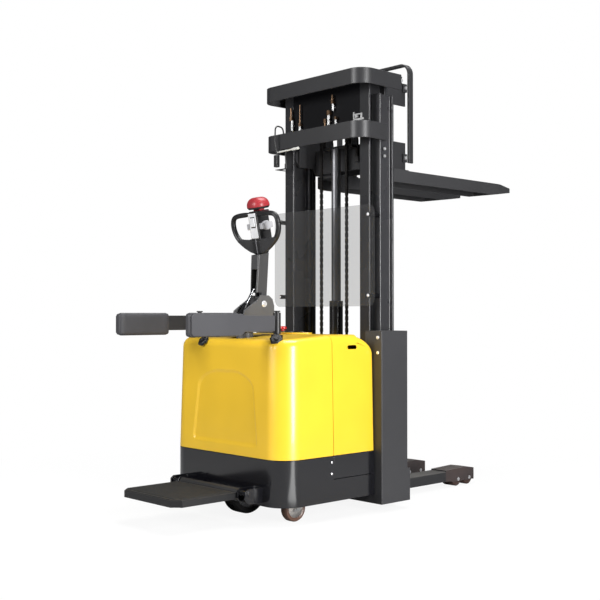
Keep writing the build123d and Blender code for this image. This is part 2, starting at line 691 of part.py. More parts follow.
GUARD_Y = -120.0
GUARD_LOW = 1013.0
GUARD_HIGH = 1528.0
GUARD_BOLT_X = 333.0
GUARD_BOLT_Z = (1068.0, 1478.0)
with BuildPart() as guard_panel:
    with BuildSketch(Plane.XZ.offset(-GUARD_Y - 2)) as pane:
        with Locations((0, (GUARD_LOW + GUARD_HIGH) / 2)):
            RectangleRounded(750, GUARD_HIGH - GUARD_LOW, 42)
    extrude(pane.sketch, amount=4)
    for sign in SIDES.values():
        for level in GUARD_BOLT_Z:
            bar((sign * GUARD_BOLT_X, GUARD_Y - 10, level), (0, 1, 0), 5.2, 20, Mode.SUBTRACT)
finish(guard_panel.part, "guard_panel")

with BuildPart() as fasteners:
    for sign in SIDES.values():
        for level in GUARD_BOLT_Z:
            bar((sign * GUARD_BOLT_X, GUARD_Y - 2, level), (0, 1, 0), 5, OUTER_RAIL["y"][0] - GUARD_Y + 2)
            bar((sign * GUARD_BOLT_X, GUARD_Y + 2, level), (0, 1, 0), 11, OUTER_RAIL["y"][0] - GUARD_Y - 2)
            bar((sign * GUARD_BOLT_X, GUARD_Y - 7, level), (0, 1, 0), 9, 5)
        for level in (783, 858):
            bar((sign * 447, FRAME_REAR - 5, level), (0, 1, 0), 8, 5)
        for level in (217, 271):
            bar((sign * BODY_HALF, SEAM - 12, level), (sign, 0, 0), 6, 3)
        for axle_y in LOAD_AXLES.values():
            bar(
                (sign * LEG_CENTRE - LEG_HALF - 1, axle_y, LOAD_WHEEL_RADIUS),
                (1, 0, 0), LOAD_AXLE_RADIUS, 2 * LEG_HALF + 2,
            )
finish(fasteners.part, "fasteners")

# ---------------------------------------------------------------- cable over the outer crown
CABLE_RADIUS = 4.0
CABLE_ROUTE = (
    (-262, -140, 1780), (-260, -150, 1905), (-252, -174, 1985),
    (-244, -234, 1990), (-240, -242, 1900), (-238, -230, 1832),
)
with BuildPart() as mast_cable:
    with BuildLine() as route:
        FilletPolyline(*CABLE_ROUTE, radius=26)
    with BuildSketch(Plane(origin=route.line @ 0, z_dir=route.line % 0)) as section:
        Circle(CABLE_RADIUS)
    sweep(section.sketch, path=route.line)
finish(mast_cable.part, "mast_cable")

with BuildPart() as cable_switch:
    block((-251, -225), (-242, -218), (1764, 1828))
    fillet(cable_switch.edges().filter_by(Axis.Z), 4)
finish(cable_switch.part, "cable_switch")

# ---------------------------------------------------------------- inner mast
with BuildPart() as inner_rails:
    for sign in SIDES.values():
        mast_rail(sign, INNER_RAIL, INNER_RAIL_LOW, INNER_RAIL_TOP)
finish(inner_rails.part, "inner_rails")

with BuildPart() as inner_ties:
    block((-250, 250), (-96, -84), (INNER_RAIL_LOW + 5, 265))
    block((-60, 60), (-84, 26), (INNER_RAIL_LOW + 5, 180))
    block((-250, 250), (-96, -86), (1940, 2185))
finish(inner_ties.part, "inner_ties")

with BuildPart() as inner_crown:
    crown(382, -218, 78, 2128, 2207, 42)
    for sign in SIDES.values():
        block(span(sign, 250, 375), (-96, 92), (INNER_RAIL_TOP, 2200))
finish(inner_crown.part, "inner_crown")

with BuildPart() as lift_rods:
    for sign in SIDES.values():
        bar((sign * LIFT_X, LIFT_Y, 760), (0, 0, 1), 13, INNER_RAIL_TOP - 760)
finish(lift_rods.part, "lift_rods")

with BuildPart() as free_lift_barrel:
    bar((0, FREE_LIFT_Y, 180), (0, 0, 1), 36, FREE_LIFT_TOP - 180)
    for sign in SIDES.values():
        block(span(sign, 20, CHAIN_X + 12), (-45, -25), (CHAIN_FOOT - 25, CHAIN_FOOT))
    bar((0, FREE_LIFT_Y, 184), (0, 0, 1), 25 + CLEARANCE, FREE_LIFT_TOP - 184, Mode.SUBTRACT)
finish(free_lift_barrel.part, "free_lift_barrel")

# ---------------------------------------------------------------- free-lift head and chains
with BuildPart() as lift_head:
    bar((0, FREE_LIFT_Y, 996), (0, 0, 1), 25, CROSSHEAD_LOW - 996)
    block((-114, 114), (-22, 30), (CROSSHEAD_LOW, CROSSHEAD_LOW + 14))
    for sign in SIDES.values():
        for cheek in (CHAIN_X - 19, CHAIN_X + 13):
            block(span(sign, cheek, cheek + 6), (-14, 28), (CROSSHEAD_LOW, 1916))
        bar((sign * (CHAIN_X - 20), SPROCKET_Y, SPROCKET_Z), (sign, 0, 0), 10, 40)
        block(span(sign, CHAIN_X - 11, CHAIN_X + 11), (-15, 31), (1850, 1872), mode=Mode.SUBTRACT)
    for sign in SIDES.values():
        with BuildSketch(Plane.YZ.offset(sign * CHAIN_X)) as wrap:
            with Locations((SPROCKET_Y, SPROCKET_Z)):
                Circle(CHAIN_PITCH_RADIUS + 6)
                Circle(CHAIN_PITCH_RADIUS - 6, mode=Mode.SUBTRACT)
                with Locations((0, -30)):
                    Rectangle(120, 60, mode=Mode.SUBTRACT)
        extrude(wrap.sketch, amount=8, both=True)
finish(lift_head.part, "lift_head")

with BuildPart() as chain_sprockets:
    for sign in SIDES.values():
        with Locations(Plane(origin=(sign * CHAIN_X, SPROCKET_Y, SPROCKET_Z), z_dir=(1, 0, 0))):
            Cylinder(33, 16)
            Cylinder(10 + CLEARANCE, 16, mode=Mode.SUBTRACT)
finish(chain_sprockets.part, "chain_sprockets")

with BuildPart() as chains_anchored:
    for sign in SIDES.values():
        block(span(sign, CHAIN_X - 8, CHAIN_X + 8), (-39, -27), (CHAIN_FOOT, SPROCKET_Z))
finish(chains_anchored.part, "chains_anchored")

with BuildPart() as chains_lifting:
    for sign in SIDES.values():
        block(span(sign, CHAIN_X - 8, CHAIN_X + 8), (41, 53), (1812, SPROCKET_Z))
finish(chains_lifting.part, "chains_lifting")

# ---------------------------------------------------------------- carriage and forks
SIDE_PROFILE = (
    (-62, 1780), (38, 1780), (70, HEEL_TOP), (262, HEEL_TOP), (262, 1890), (98, 1890), (98, 2087),
    (262, 2087), (262, 2190), (205, 2235), (20, 2235), (-62, 2110),
)
ROLLER_LEVELS = (1835.0, 2045.0)
ROLLER_Y = sum(INNER_RAIL["y"]) / 2
with BuildPart() as carriage_frame:
    for sign in SIDES.values():
        side_plate(SIDE_PROFILE, span(sign, *SIDE_PLATE))
        bar((sign * 230, 222, 2206), (sign, 0, 0), 7, 30, Mode.SUBTRACT)
        for level in ROLLER_LEVELS:
            bar((sign * SIDE_PLATE[0], ROLLER_Y, level), (sign, 0, 0), 12, 12)
            bar((sign * 251, ROLLER_Y, level), (sign, 0, 0), 48.5, 20)
            bar((sign * 248, ROLLER_Y, level), (sign, 0, 0), 12, 6)
        for level in (1807, 2182):
            block(span(sign, SIDE_PLATE[1], 260), (232, 262), (level - 22, level + 22))
    block((-238, 238), (60, 74), (1748, 1880))
    block((-238, 238), (60, 74), (2087, 2170))
    block((-238, 238), (222, 240), (1748, 1800))
    for sign in SIDES.values():
        block(span(sign, CHAIN_X - 12, CHAIN_X + 12), (41, 60), (1786, 1812))
finish(carriage_frame.part, "carriage_frame")

fork_low = FORK_TOP - FORK_DEPTH
FORK_SIDE = (
    (FORK_HEEL, fork_low + 8), (FORK_HEEL + 40, fork_low), (1000, fork_low), (FORK_TIP, fork_low + 30),
    (FORK_TIP, FORK_TOP - 12), (1090, FORK_TOP), (262, FORK_TOP), (262, HEEL_TOP), (FORK_HEEL, HEEL_TOP),
)
for side, sign in SIDES.items():
    fork_x = span(sign, FORK_CENTRE - FORK_WIDTH / 2, FORK_CENTRE + FORK_WIDTH / 2)
    channel_x = span(sign, FORK_CENTRE - FORK_WIDTH / 2 + 6, FORK_CENTRE + FORK_WIDTH / 2 - 6)
    with BuildPart() as fork:
        side_plate(FORK_SIDE, fork_x)
        with BuildSketch(Plane.XY.offset(fork_low)) as blade_plan:
            with BuildLine():
                FilletPolyline(
                    (sign * 101, FORK_HEEL), (sign * 271, FORK_HEEL), (sign * 271, 1060),
                    (sign * 236, FORK_TIP), (sign * 136, FORK_TIP), (sign * 101, 1060),
                    radius=18, close=True,
                )
            make_face()
        extrude(blade_plan.sketch, amount=HEEL_TOP - fork_low, mode=Mode.INTERSECT)
        block(channel_x, (FORK_HEEL - 1, 1040), (fork_low - 1, FORK_TOP - 8), mode=Mode.SUBTRACT)
        block(span(sign, 112, 236), (240, 262), (HEEL_TOP, 1888))
        side_plate(((262, FORK_TOP), (262, 1800), (330, FORK_TOP)), span(sign, 176, 188))
    finish(fork.part, f"fork_{side}")

with BuildPart() as backrest:
    inner = BACKREST_OUTER - 12
    with BuildSketch(Plane.XZ.offset(-262)) as hoop:
        with Locations((0, (BACKREST_TOP + 1782) / 2)):
            RectangleRounded(2 * BACKREST_OUTER, BACKREST_TOP - 1782, 62)
            RectangleRounded(2 * inner, BACKREST_TOP - 1782 - 24, 50, mode=Mode.SUBTRACT)
        with Locations((0, 1782)):
            Rectangle(2 * inner, 160, mode=Mode.SUBTRACT)
    extrude(hoop.sketch, amount=36)
finish(backrest.part, "backrest")
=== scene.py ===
"""Looks of the rider stacker, in metres, in the frame of its CAD model."""

import json
import math

import bmesh
import bpy
from mathutils import Matrix, Vector

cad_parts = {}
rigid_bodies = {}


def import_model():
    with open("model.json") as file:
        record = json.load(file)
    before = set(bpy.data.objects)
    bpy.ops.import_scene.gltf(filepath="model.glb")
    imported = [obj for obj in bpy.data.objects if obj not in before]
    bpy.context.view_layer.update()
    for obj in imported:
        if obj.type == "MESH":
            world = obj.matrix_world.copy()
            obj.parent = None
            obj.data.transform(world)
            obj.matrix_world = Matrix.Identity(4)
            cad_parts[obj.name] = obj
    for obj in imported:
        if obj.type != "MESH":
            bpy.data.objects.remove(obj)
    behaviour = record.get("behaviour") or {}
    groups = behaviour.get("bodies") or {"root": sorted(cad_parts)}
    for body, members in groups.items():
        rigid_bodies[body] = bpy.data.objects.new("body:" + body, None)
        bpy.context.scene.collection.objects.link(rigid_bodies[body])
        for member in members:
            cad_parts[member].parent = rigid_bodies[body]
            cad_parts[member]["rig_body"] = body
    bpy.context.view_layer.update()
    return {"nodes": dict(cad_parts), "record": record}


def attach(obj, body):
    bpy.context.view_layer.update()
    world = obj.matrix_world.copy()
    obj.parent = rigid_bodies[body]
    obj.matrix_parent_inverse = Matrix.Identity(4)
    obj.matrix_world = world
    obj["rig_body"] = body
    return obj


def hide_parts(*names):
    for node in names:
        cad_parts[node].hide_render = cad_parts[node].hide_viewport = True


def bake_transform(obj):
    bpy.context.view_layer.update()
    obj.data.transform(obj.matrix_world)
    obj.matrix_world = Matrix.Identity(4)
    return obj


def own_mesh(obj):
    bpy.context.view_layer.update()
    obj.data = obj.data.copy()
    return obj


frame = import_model()
nodes = frame["nodes"]

# ---------------------------------------------------------------------------
# Studio: a pale floor that runs back to white, a camera at standing height
# behind the truck's right rear corner, and large soft lamps on both sides.
camera_place = Vector((3.876, -3.895, 0.972))
camera_heading = 47.0
camera_tilt = 0.8
camera_lens = 61.5

camera_data = bpy.data.cameras.new("camera")
camera_data.lens = camera_lens
camera_data.sensor_width = 36.0
camera = bpy.data.objects.new("camera", camera_data)
camera.location = camera_place
camera.rotation_euler = (math.radians(90.0 + camera_tilt), 0.0, math.radians(camera_heading))
bpy.context.scene.collection.objects.link(camera)
bpy.context.scene.camera = camera


class Socket:
    """A node socket that adds its own maths nodes when it is used in an expression."""

    def __init__(self, shader, value):
        self.shader = shader
        self.value = value

    def maths(self, operation, *others, **settings):
        values = [self] + list(others)
        settings["operation"] = operation
        return self.shader.node("ShaderNodeMath", settings, dict(enumerate(values)))[0]

    def __add__(self, other):
        return self.maths("ADD", other)

    def __sub__(self, other):
        return self.maths("SUBTRACT", other)

    def __mul__(self, other):
        return self.maths("MULTIPLY", other)

    def __truediv__(self, other):
        return self.maths("DIVIDE", other)

    def __rsub__(self, other):
        return self.shader.node("ShaderNodeMath", {"operation": "SUBTRACT"}, {0: other, 1: self})[0]

    __radd__ = __add__
    __rmul__ = __mul__


class Shader:
    """One material and the nodes that make it."""

    def __init__(self, name):
        self.material = bpy.data.materials.new(name)
        self.material.use_nodes = True
        self.tree = self.material.node_tree
        self.tree.nodes.clear()
        self.output = self.tree.nodes.new("ShaderNodeOutputMaterial")

    def node(self, kind, settings=None, sockets=None):
        """Add a node, set it, feed its sockets and give its outputs."""
        made = self.tree.nodes.new(kind)
        for name, value in (settings or {}).items():
            if name == "stops":
                ramp = made.color_ramp.elements
                while len(ramp) < len(value):
                    ramp.new(0.5)
                for stop, (position, colour) in zip(ramp, value):
                    stop.position = position
                    stop.color = colour
            else:
                setattr(made, name, value)
        for name, value in (sockets or {}).items():
            if isinstance(value, Socket):
                self.tree.links.new(value.value, made.inputs[name])
            else:
                made.inputs[name].default_value = value
        return Outputs(self, made)

    def finish(self, surface):
        self.tree.links.new(surface.value, self.output.inputs["Surface"])
        return self.material


class Outputs:
    """The outputs of one node, by name or number."""

    def __init__(self, shader, made):
        self.shader = shader
        self.made = made

    def __getitem__(self, name):
        return Socket(self.shader, self.made.outputs[name])


def lamp(name, place, target, size, power):
    """Hang a square soft lamp that faces a target."""
    light = bpy.data.lights.new(name, "AREA")
    light.shape = "RECTANGLE"
    light.size, light.size_y = size
    light.energy = power
    hung = bpy.data.objects.new(name, light)
    hung.location = place
    hung.rotation_euler = (Vector(target) - Vector(place)).to_track_quat("-Z", "Y").to_euler()
    hung.visible_camera = False
    bpy.context.scene.collection.objects.link(hung)


lamp("key_lamp", (5.0, -0.85, 1.6), (0.3, -0.6, 1.1), (1.3, 3.0), 318.0)
lamp("fill_lamp", (-0.9, -5.8, 2.6), (0.0, -0.5, 0.9), (2.4, 2.4), 235.0)
lamp("top_lamp", (0.5, 0.6, 5.6), (0.0, 0.0, 0.0), (3.0, 3.0), 290.0)
lamp("floor_lamp", (2.0, -0.80, 0.01), (2.0, -0.80, 1.0), (2.1, 0.5), 10.0)

world = bpy.data.worlds.new("studio_air")
world.use_nodes = True
bpy.context.scene.world = world
air = world.node_tree
air.nodes.clear()
air_output = air.nodes.new("ShaderNodeOutputWorld")
air_mix = air.nodes.new("ShaderNodeMixShader")
air_path = air.nodes.new("ShaderNodeLightPath")
air_light = air.nodes.new("ShaderNodeBackground")
air_light.inputs["Color"].default_value = (0.9, 0.93, 1.0, 1.0)
air_light.inputs["Strength"].default_value = 0.08
air_white = air.nodes.new("ShaderNodeBackground")
air_white.inputs["Color"].default_value = (1.0, 1.0, 1.0, 1.0)
air_white.inputs["Strength"].default_value = 1.0
air.links.new(air_path.outputs["Is Camera Ray"], air_mix.inputs["Fac"])
air.links.new(air_light.outputs[0], air_mix.inputs[1])
air.links.new(air_white.outputs[0], air_mix.inputs[2])
air.links.new(air_mix.outputs[0], air_output.inputs["Surface"])
bpy.context.scene.view_settings.view_transform = "Standard"

floor_mesh = bmesh.new()
bmesh.ops.create_circle(floor_mesh, cap_ends=True, segments=96, radius=14.0)
floor_data = bpy.data.meshes.new("floor")
floor_mesh.to_mesh(floor_data)
floor_mesh.free()
floor = bpy.data.objects.new("floor", floor_data)
bpy.context.scene.collection.objects.link(floor)
floor_paint = Shader("floor_paper")
floor_place = floor_paint.node("ShaderNodeTexCoord")["Object"]
floor_reach = Socket(
    floor_paint,
    floor_paint.node("ShaderNodeVectorMath", {"operation": "LENGTH"}, {0: floor_place}).made.outputs["Value"],
)
paper = floor_paint.node(
    "ShaderNodeBsdfDiffuse", {}, {"Color": (0.30, 0.30, 0.30, 1.0)}
)
seen_paper = floor_paint.node("ShaderNodeBsdfDiffuse", {}, {"Color": (0.98, 0.98, 0.98, 1.0)})
bright = floor_paint.node("ShaderNodeEmission", {}, {"Color": (1.0, 1.0, 1.0, 1.0), "Strength": 1.0})
lifted_paper = floor_paint.node(
    "ShaderNodeMixShader", {}, {0: 0.90, 1: seen_paper["BSDF"], 2: bright["Emission"]}
)
far_white = floor_paint.node(
    "ShaderNodeMixShader",
    {},
    {
        0: floor_reach.maths("SUBTRACT", 1.3).maths("DIVIDE", 1.2).maths("MINIMUM", 1.0)
        .maths("MAXIMUM", 0.0),
        1: lifted_paper["Shader"],
        2: bright["Emission"],
    },
)
floor_path = floor_paint.node("ShaderNodeLightPath")
floor_shown = floor_paint.node(
    "ShaderNodeMixShader",
    {},
    {0: floor_path["Is Camera Ray"], 1: paper["BSDF"], 2: far_white["Shader"]},
)
floor_data.materials.append(floor_paint.finish(floor_shown["Shader"]))

# ---------------------------------------------------------------------------
# Base frame: two hollow columns on a cross beam, with a support leg welded on
# in front of each. Bent and welded plate, sprayed dark grey with a fine grain.
slot_of = {entry["node"]: entry["material_slot"] for entry in frame["record"]["subparts"]}


def sprayed(name, colour, roughness, grain=0.02, spread=0.12, coat=0.0, dust_and_top_light=0.0, tip=None, shine=0.5):
    """Sprayed enamel: slight cloudiness, orange-peel bump, and upward faces made paler: partly settled dust,
    partly painted light from above.
    """
    shader = Shader(name)
    place = shader.node("ShaderNodeTexCoord")["Object"]
    cloud = shader.node("ShaderNodeTexNoise", {}, {"Vector": place, "Scale": 3.0, "Detail": 5.0})["Fac"]
    speck = shader.node("ShaderNodeTexNoise", {}, {"Vector": place, "Scale": 240.0, "Detail": 2.0})["Fac"]
    up = shader.node(
        "ShaderNodeSeparateXYZ", {}, {"Vector": shader.node("ShaderNodeNewGeometry")["Normal"]}
    )["Z"]
    # Upward faces turn paler and rougher: partly settled dust, partly painted light falling from above.
    settled_dust_and_top_light = up.maths("MAXIMUM", 0.0) * cloud * dust_and_top_light
    tone = shader.node(
        "ShaderNodeMix",
        {"data_type": "RGBA"},
        {
            "Factor": cloud,
            "A": tuple(c * (1.0 - spread) for c in colour) + (1.0,),
            "B": tuple(c * (1.0 + spread) for c in colour) + (1.0,),
        },
    )
    if tip:
        forward = shader.node("ShaderNodeSeparateXYZ", {}, {"Vector": place})["Y"]
        beyond = forward.maths("GREATER_THAN", tip[0])
        tone = shader.node(
            "ShaderNodeMix",
            {"data_type": "RGBA"},
            {
                "Factor": beyond * cloud.maths("MULTIPLY_ADD", 3.0, -0.8).maths("MAXIMUM", tip[2]),
                "A": Socket(shader, tone.made.outputs[2]), "B": tip[1] + (1.0,),
            },
        )
    toned_with_dust_and_top_light = shader.node(
        "ShaderNodeMix",
        {"data_type": "RGBA"},
        {"Factor": settled_dust_and_top_light, "A": Socket(shader, tone.made.outputs[2]), "B": (0.42, 0.40, 0.37, 1.0)},
    )
    peel = shader.node("ShaderNodeBump", {}, {"Strength": grain, "Distance": 0.002, "Height": speck})
    enamel = shader.node(
        "ShaderNodeBsdfPrincipled",
        {},
        {
            "Base Color": Socket(shader, toned_with_dust_and_top_light.made.outputs[2]),
            "Roughness": cloud * 0.12 + (roughness - 0.06) + settled_dust_and_top_light * 0.4,
            "Specular IOR Level": shine,
            "Coat Weight": coat,
            "Coat Roughness": 0.12,
            "Normal": peel["Normal"],
        },
    )
    return shader.finish(enamel["BSDF"])


def place(name, form, coats, body, slot, stands_for=(), sharp=35.0):
    """Turn a bmesh into a piece that rides on a body and wears the given coats."""
    bmesh.ops.recalc_face_normals(form, faces=form.faces)
    limit = math.radians(sharp)
    for edge in form.edges:
        edge.smooth = len(edge.link_faces) == 2 and edge.calc_face_angle(0.0) < limit
    for face in form.faces:
        face.smooth = True
    mesh = bpy.data.meshes.new(name)
    form.to_mesh(mesh)
    form.free()
    for coat in coats:
        mesh.materials.append(coat)
    piece = bpy.data.objects.new(name, mesh)
    bpy.context.scene.collection.objects.link(piece)
    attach(piece, body)
    if stands_for:
        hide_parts(*stands_for)
    return piece


def round_edges(piece, width, segments=2, angle=35.0):
    """Round a piece's sharp edges and keep its flat faces flat in shading."""
    bevel = piece.modifiers.new("edges", "BEVEL")
    bevel.width = width
    bevel.segments = segments
    bevel.limit_method = "ANGLE"
    bevel.angle_limit = math.radians(angle)
    weighted = piece.modifiers.new("normals", "WEIGHTED_NORMAL")
    weighted.keep_sharp = True
    return piece


def dress(node, coat, width=0.0015, segments=2):
    """Give a CAD node's own shape welded corners, rounded edges and a coat."""
    form = bmesh.new()
    form.from_mesh(nodes[node].data)
    bmesh.ops.remove_doubles(form, verts=form.verts, dist=0.00001)
    bmesh.ops.dissolve_limit(form, angle_limit=math.radians(0.5), verts=form.verts, edges=form.edges)
    piece = place(node + "_shell", form, (coat,), nodes[node]["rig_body"], slot_of[node], (node,))
    return round_edges(piece, width, segments) if width else piece


frame_enamel = sprayed("frame_enamel", (0.042, 0.042, 0.045), 0.42, grain=0.05, dust_and_top_light=0.12)
# The legs' strong top lightening is mostly painted light on their upward faces, with a little dust.
leg_enamel = sprayed(
    "leg_enamel", (0.024, 0.024, 0.026), 0.42, grain=0.05, dust_and_top_light=0.45, tip=(0.616, (0.075, 0.052, 0.048), 0.3)
)
dress("base_frame", frame_enamel, 0.0025, 3)
for side in ("left", "right"):
    dress(f"leg_{side}", leg_enamel, 0.0015)


# ---------------------------------------------------------------------------
# Small shared shapes, first needed by the load wheels: boxes, round bars and
# turned profiles. The load wheels are brown polyurethane on steel hubs.
def slab(form, x, y, z):
    """Add a box that spans the (low, high) pairs x, y and z, and give its vertices."""
    made = bmesh.ops.create_cube(form, size=1.0)["verts"]
    bmesh.ops.scale(form, verts=made, vec=(x[1] - x[0], y[1] - y[0], z[1] - z[0]))
    middle = ((x[0] + x[1]) / 2, (y[0] + y[1]) / 2, (z[0] + z[1]) / 2)
    bmesh.ops.translate(form, verts=made, vec=middle)
    return made


def rod(form, start, direction, radius, length, segments=32):
    """Add a round bar from start along direction, and give its vertices."""
    way = Vector(direction).normalized()
    middle = Matrix.Translation(Vector(start) + way * (length / 2))
    turned = middle @ way.to_track_quat("Z", "Y").to_matrix().to_4x4()
    return bmesh.ops.create_cone(
        form, cap_ends=True, segments=segments, radius1=radius, radius2=radius, depth=length, matrix=turned,
    )["verts"]


def turn(form, centre, axis, profile, steps=48):
    """Spin a closed profile of (distance along axis, radius) points round an axis, and give its vertices."""
    way = Vector(axis).normalized()
    out = way.orthogonal().normalized()
    points = [form.verts.new(Vector(centre) + way * along + out * radius) for along, radius in profile]
    edges = [form.edges.new((points[i], points[(i + 1) % len(points)])) for i in range(len(points))]
    spun = bmesh.ops.spin(
        form, geom=points + edges, cent=centre, axis=way, angle=math.tau, steps=steps, use_merge=True
    )
    return points + [part for part in spun["geom_last"] if isinstance(part, bmesh.types.BMVert)]


def urethane(name, colour, roughness):
    """Cast polyurethane or rubber: clouded colour, scuffed sheen, fine pits."""
    shader = Shader(name)
    where = shader.node("ShaderNodeTexCoord")["Object"]
    cloud = shader.node("ShaderNodeTexNoise", {}, {"Vector": where, "Scale": 18.0, "Detail": 6.0})["Fac"]
    pits = shader.node("ShaderNodeTexNoise", {}, {"Vector": where, "Scale": 420.0, "Detail": 3.0})["Fac"]
    tone = shader.node(
        "ShaderNodeMix",
        {"data_type": "RGBA"},
        {
            "Factor": cloud,
            "A": tuple(c * 0.78 for c in colour) + (1.0,),
            "B": tuple(c * 1.2 for c in colour) + (1.0,),
        },
    )
    bump = shader.node("ShaderNodeBump", {}, {"Strength": 0.12, "Distance": 0.001, "Height": pits})
    cast = shader.node(
        "ShaderNodeBsdfPrincipled",
        {},
        {
            "Base Color": Socket(shader, tone.made.outputs[2]),
            "Roughness": cloud * 0.25 + (roughness - 0.12),
            "Normal": bump["Normal"],
        },
    )
    return shader.finish(cast["BSDF"])


def bare_metal(name, colour, roughness, brushed=60.0, strength=0.05):
    """Plated or ground steel: metallic, with fine lines and cloudy sheen."""
    shader = Shader(name)
    where = shader.node("ShaderNodeTexCoord")["Object"]
    lines = shader.node("ShaderNodeTexNoise", {}, {"Vector": where, "Scale": brushed * 8.0, "Detail": 2.0})
    cloud = shader.node("ShaderNodeTexNoise", {}, {"Vector": where, "Scale": 25.0, "Detail": 4.0})["Fac"]
    bump = shader.node(
        "ShaderNodeBump", {}, {"Strength": strength, "Distance": 0.0006, "Height": lines["Fac"]}
    )
    metal = shader.node(
        "ShaderNodeBsdfPrincipled",
        {},
        {
            "Base Color": colour + (1.0,),
            "Metallic": 1.0,
            "Roughness": cloud * 0.16 + (roughness - 0.08),
            "Normal": bump["Normal"],
        },
    )
    return shader.finish(metal["BSDF"])


tread_urethane = urethane("tread_urethane", (0.060, 0.034, 0.028), 0.42)
hub_steel = bare_metal("hub_steel", (0.30, 0.28, 0.27), 0.38)
for side, sign in (("left", -1), ("right", 1)):
    for spot, axle_y in (("rear", 0.727), ("front", 0.827)):
        roller = bmesh.new()
        centre = (sign * 0.181, axle_y, 0.040)
        turn(roller, centre, (1, 0, 0), (
            (-0.0408, 0.0175), (-0.0408, 0.0355), (-0.0385, 0.0385), (-0.0360, 0.0399), (0.0360, 0.0399),
            (0.0385, 0.0385), (0.0408, 0.0355), (0.0408, 0.0175), (0.0380, 0.0165), (0.0380, 0.0104),
            (-0.0380, 0.0104), (-0.0380, 0.0165),
        ))
        for face in roller.faces:
            reach = (face.calc_center_median() - Vector(centre)).yz.length
            face.material_index = 0 if reach > 0.026 else 1
        place(
            f"load_roller_{side}_{spot}", roller, (tread_urethane, hub_steel),
            f"load_wheel_{side}_{spot}", "wheel_tread", (f"load_wheel_{side}_{spot}",),
        )

# ---------------------------------------------------------------------------
# Skirt: one 6 mm plate bent round the rear of the truck, glossy black, with
# the inner deck plates, battery and pump unit standing inside it.
skirt_enamel = sprayed("skirt_enamel", (0.005, 0.005, 0.007), 0.17, grain=0.006, coat=1.0, dust_and_top_light=0.03)
skirt_form = bmesh.new()
slab(skirt_form, (-0.427, 0.427), (-0.785, -0.178), (0.085, 0.301))
corners = [
    edge for edge in skirt_form.edges
    if abs(edge.verts[0].co.z - edge.verts[1].co.z) > 0.1 and edge.verts[0].co.y < -0.7
]
bmesh.ops.bevel(
    skirt_form, geom=corners, offset=0.115, segments=20, profile=0.5, affect="EDGES", material=-1
)
doomed = [
    face for face in skirt_form.faces
    if abs(face.normal.z) > 0.9 or (face.normal.y > 0.9 and face.calc_center_median().y > -0.3)
]
bmesh.ops.delete(skirt_form, geom=doomed, context="FACES")
for point, normal in (((0, -0.459, 0), (0, 1, 0)), ((0, 0, 0.190), (0, 0, 1))):
    everything = skirt_form.verts[:] + skirt_form.edges[:] + skirt_form.faces[:]
    bmesh.ops.bisect_plane(skirt_form, geom=everything, plane_co=point, plane_no=normal)
doomed = [
    face for face in skirt_form.faces
    if face.calc_center_median().x > 0.4 and face.calc_center_median().y > -0.459
    and face.calc_center_median().z > 0.190
]
bmesh.ops.delete(skirt_form, geom=doomed, context="FACES")
skirt_shell = place(
    "skirt_shell", skirt_form, (skirt_enamel,), "chassis", "skirt_paint", ("skirt",), sharp=40
)
wall = skirt_shell.modifiers.new("wall", "SOLIDIFY")
wall.thickness = 0.006
wall.offset = -1.0
round_edges(skirt_shell, 0.0012)

inner_black = sprayed("inner_black", (0.020, 0.020, 0.021), 0.5, dust_and_top_light=0.1)
dress("chassis_plates", inner_black, 0.001)
dress("battery", urethane("battery_case", (0.11, 0.11, 0.12), 0.6), 0.002)
drive_grey = sprayed("drive_grey", (0.18, 0.18, 0.19), 0.4, grain=0.08)
for node in ("power_pack", "gearbox", "drive_motor"):
    dress(node, drive_grey, 0.002)

# ---------------------------------------------------------------------------
# Hood: a moulded yellow shell, 4 mm thick with a slight draft, in three parts:
# the rear half over the drive with a sunk arch, the front half over the
# battery, and the side door with its hand slot. Narrow dark gaps part them.
def moulded(name, colour, roughness, coat):
    """Self-coloured gloss moulding: faint waviness and tiny scratches."""
    shader = Shader(name)
    where = shader.node("ShaderNodeTexCoord")["Object"]
    wave = shader.node("ShaderNodeTexNoise", {}, {"Vector": where, "Scale": 5.0, "Detail": 1.0})["Fac"]
    fine = shader.node("ShaderNodeTexNoise", {}, {"Vector": where, "Scale": 320.0, "Detail": 2.0})["Fac"]
    tone = shader.node(
        "ShaderNodeMix",
        {"data_type": "RGBA"},
        {
            "Factor": wave,
            "A": tuple(c * 0.93 for c in colour) + (1.0,),
            "B": tuple(min(1.0, c * 1.06) for c in colour) + (1.0,),
        },
    )
    soft = shader.node("ShaderNodeBump", {}, {"Strength": 0.10, "Distance": 0.004, "Height": wave})
    skin = shader.node(
        "ShaderNodeBump", {}, {"Strength": 0.02, "Distance": 0.001, "Height": fine, "Normal": soft["Normal"]}
    )
    shell = shader.node(
        "ShaderNodeBsdfPrincipled",
        {},
        {
            "Base Color": Socket(shader, tone.made.outputs[2]),
            "Roughness": fine * 0.08 + (roughness - 0.04),
            "Coat Weight": coat,
            "Coat Roughness": 0.08,
            "Normal": skin["Normal"],
        },
    )
    return shader.finish(shell["BSDF"])


yellow_shell = moulded("yellow_shell", (0.88, 0.550, 0.030), 0.32, 0.35)
hood_low, hood_top = 0.303, 0.874
brow_long, brow_high, rim_round = 0.165, 0.100, 0.042


def smoothstep(low, high, value):
    """Give 0 below low, 1 above high and a smooth rise between them."""
    share = min(1.0, max(0.0, (value - low) / (high - low)))
    return share * share * (3.0 - 2.0 * share)


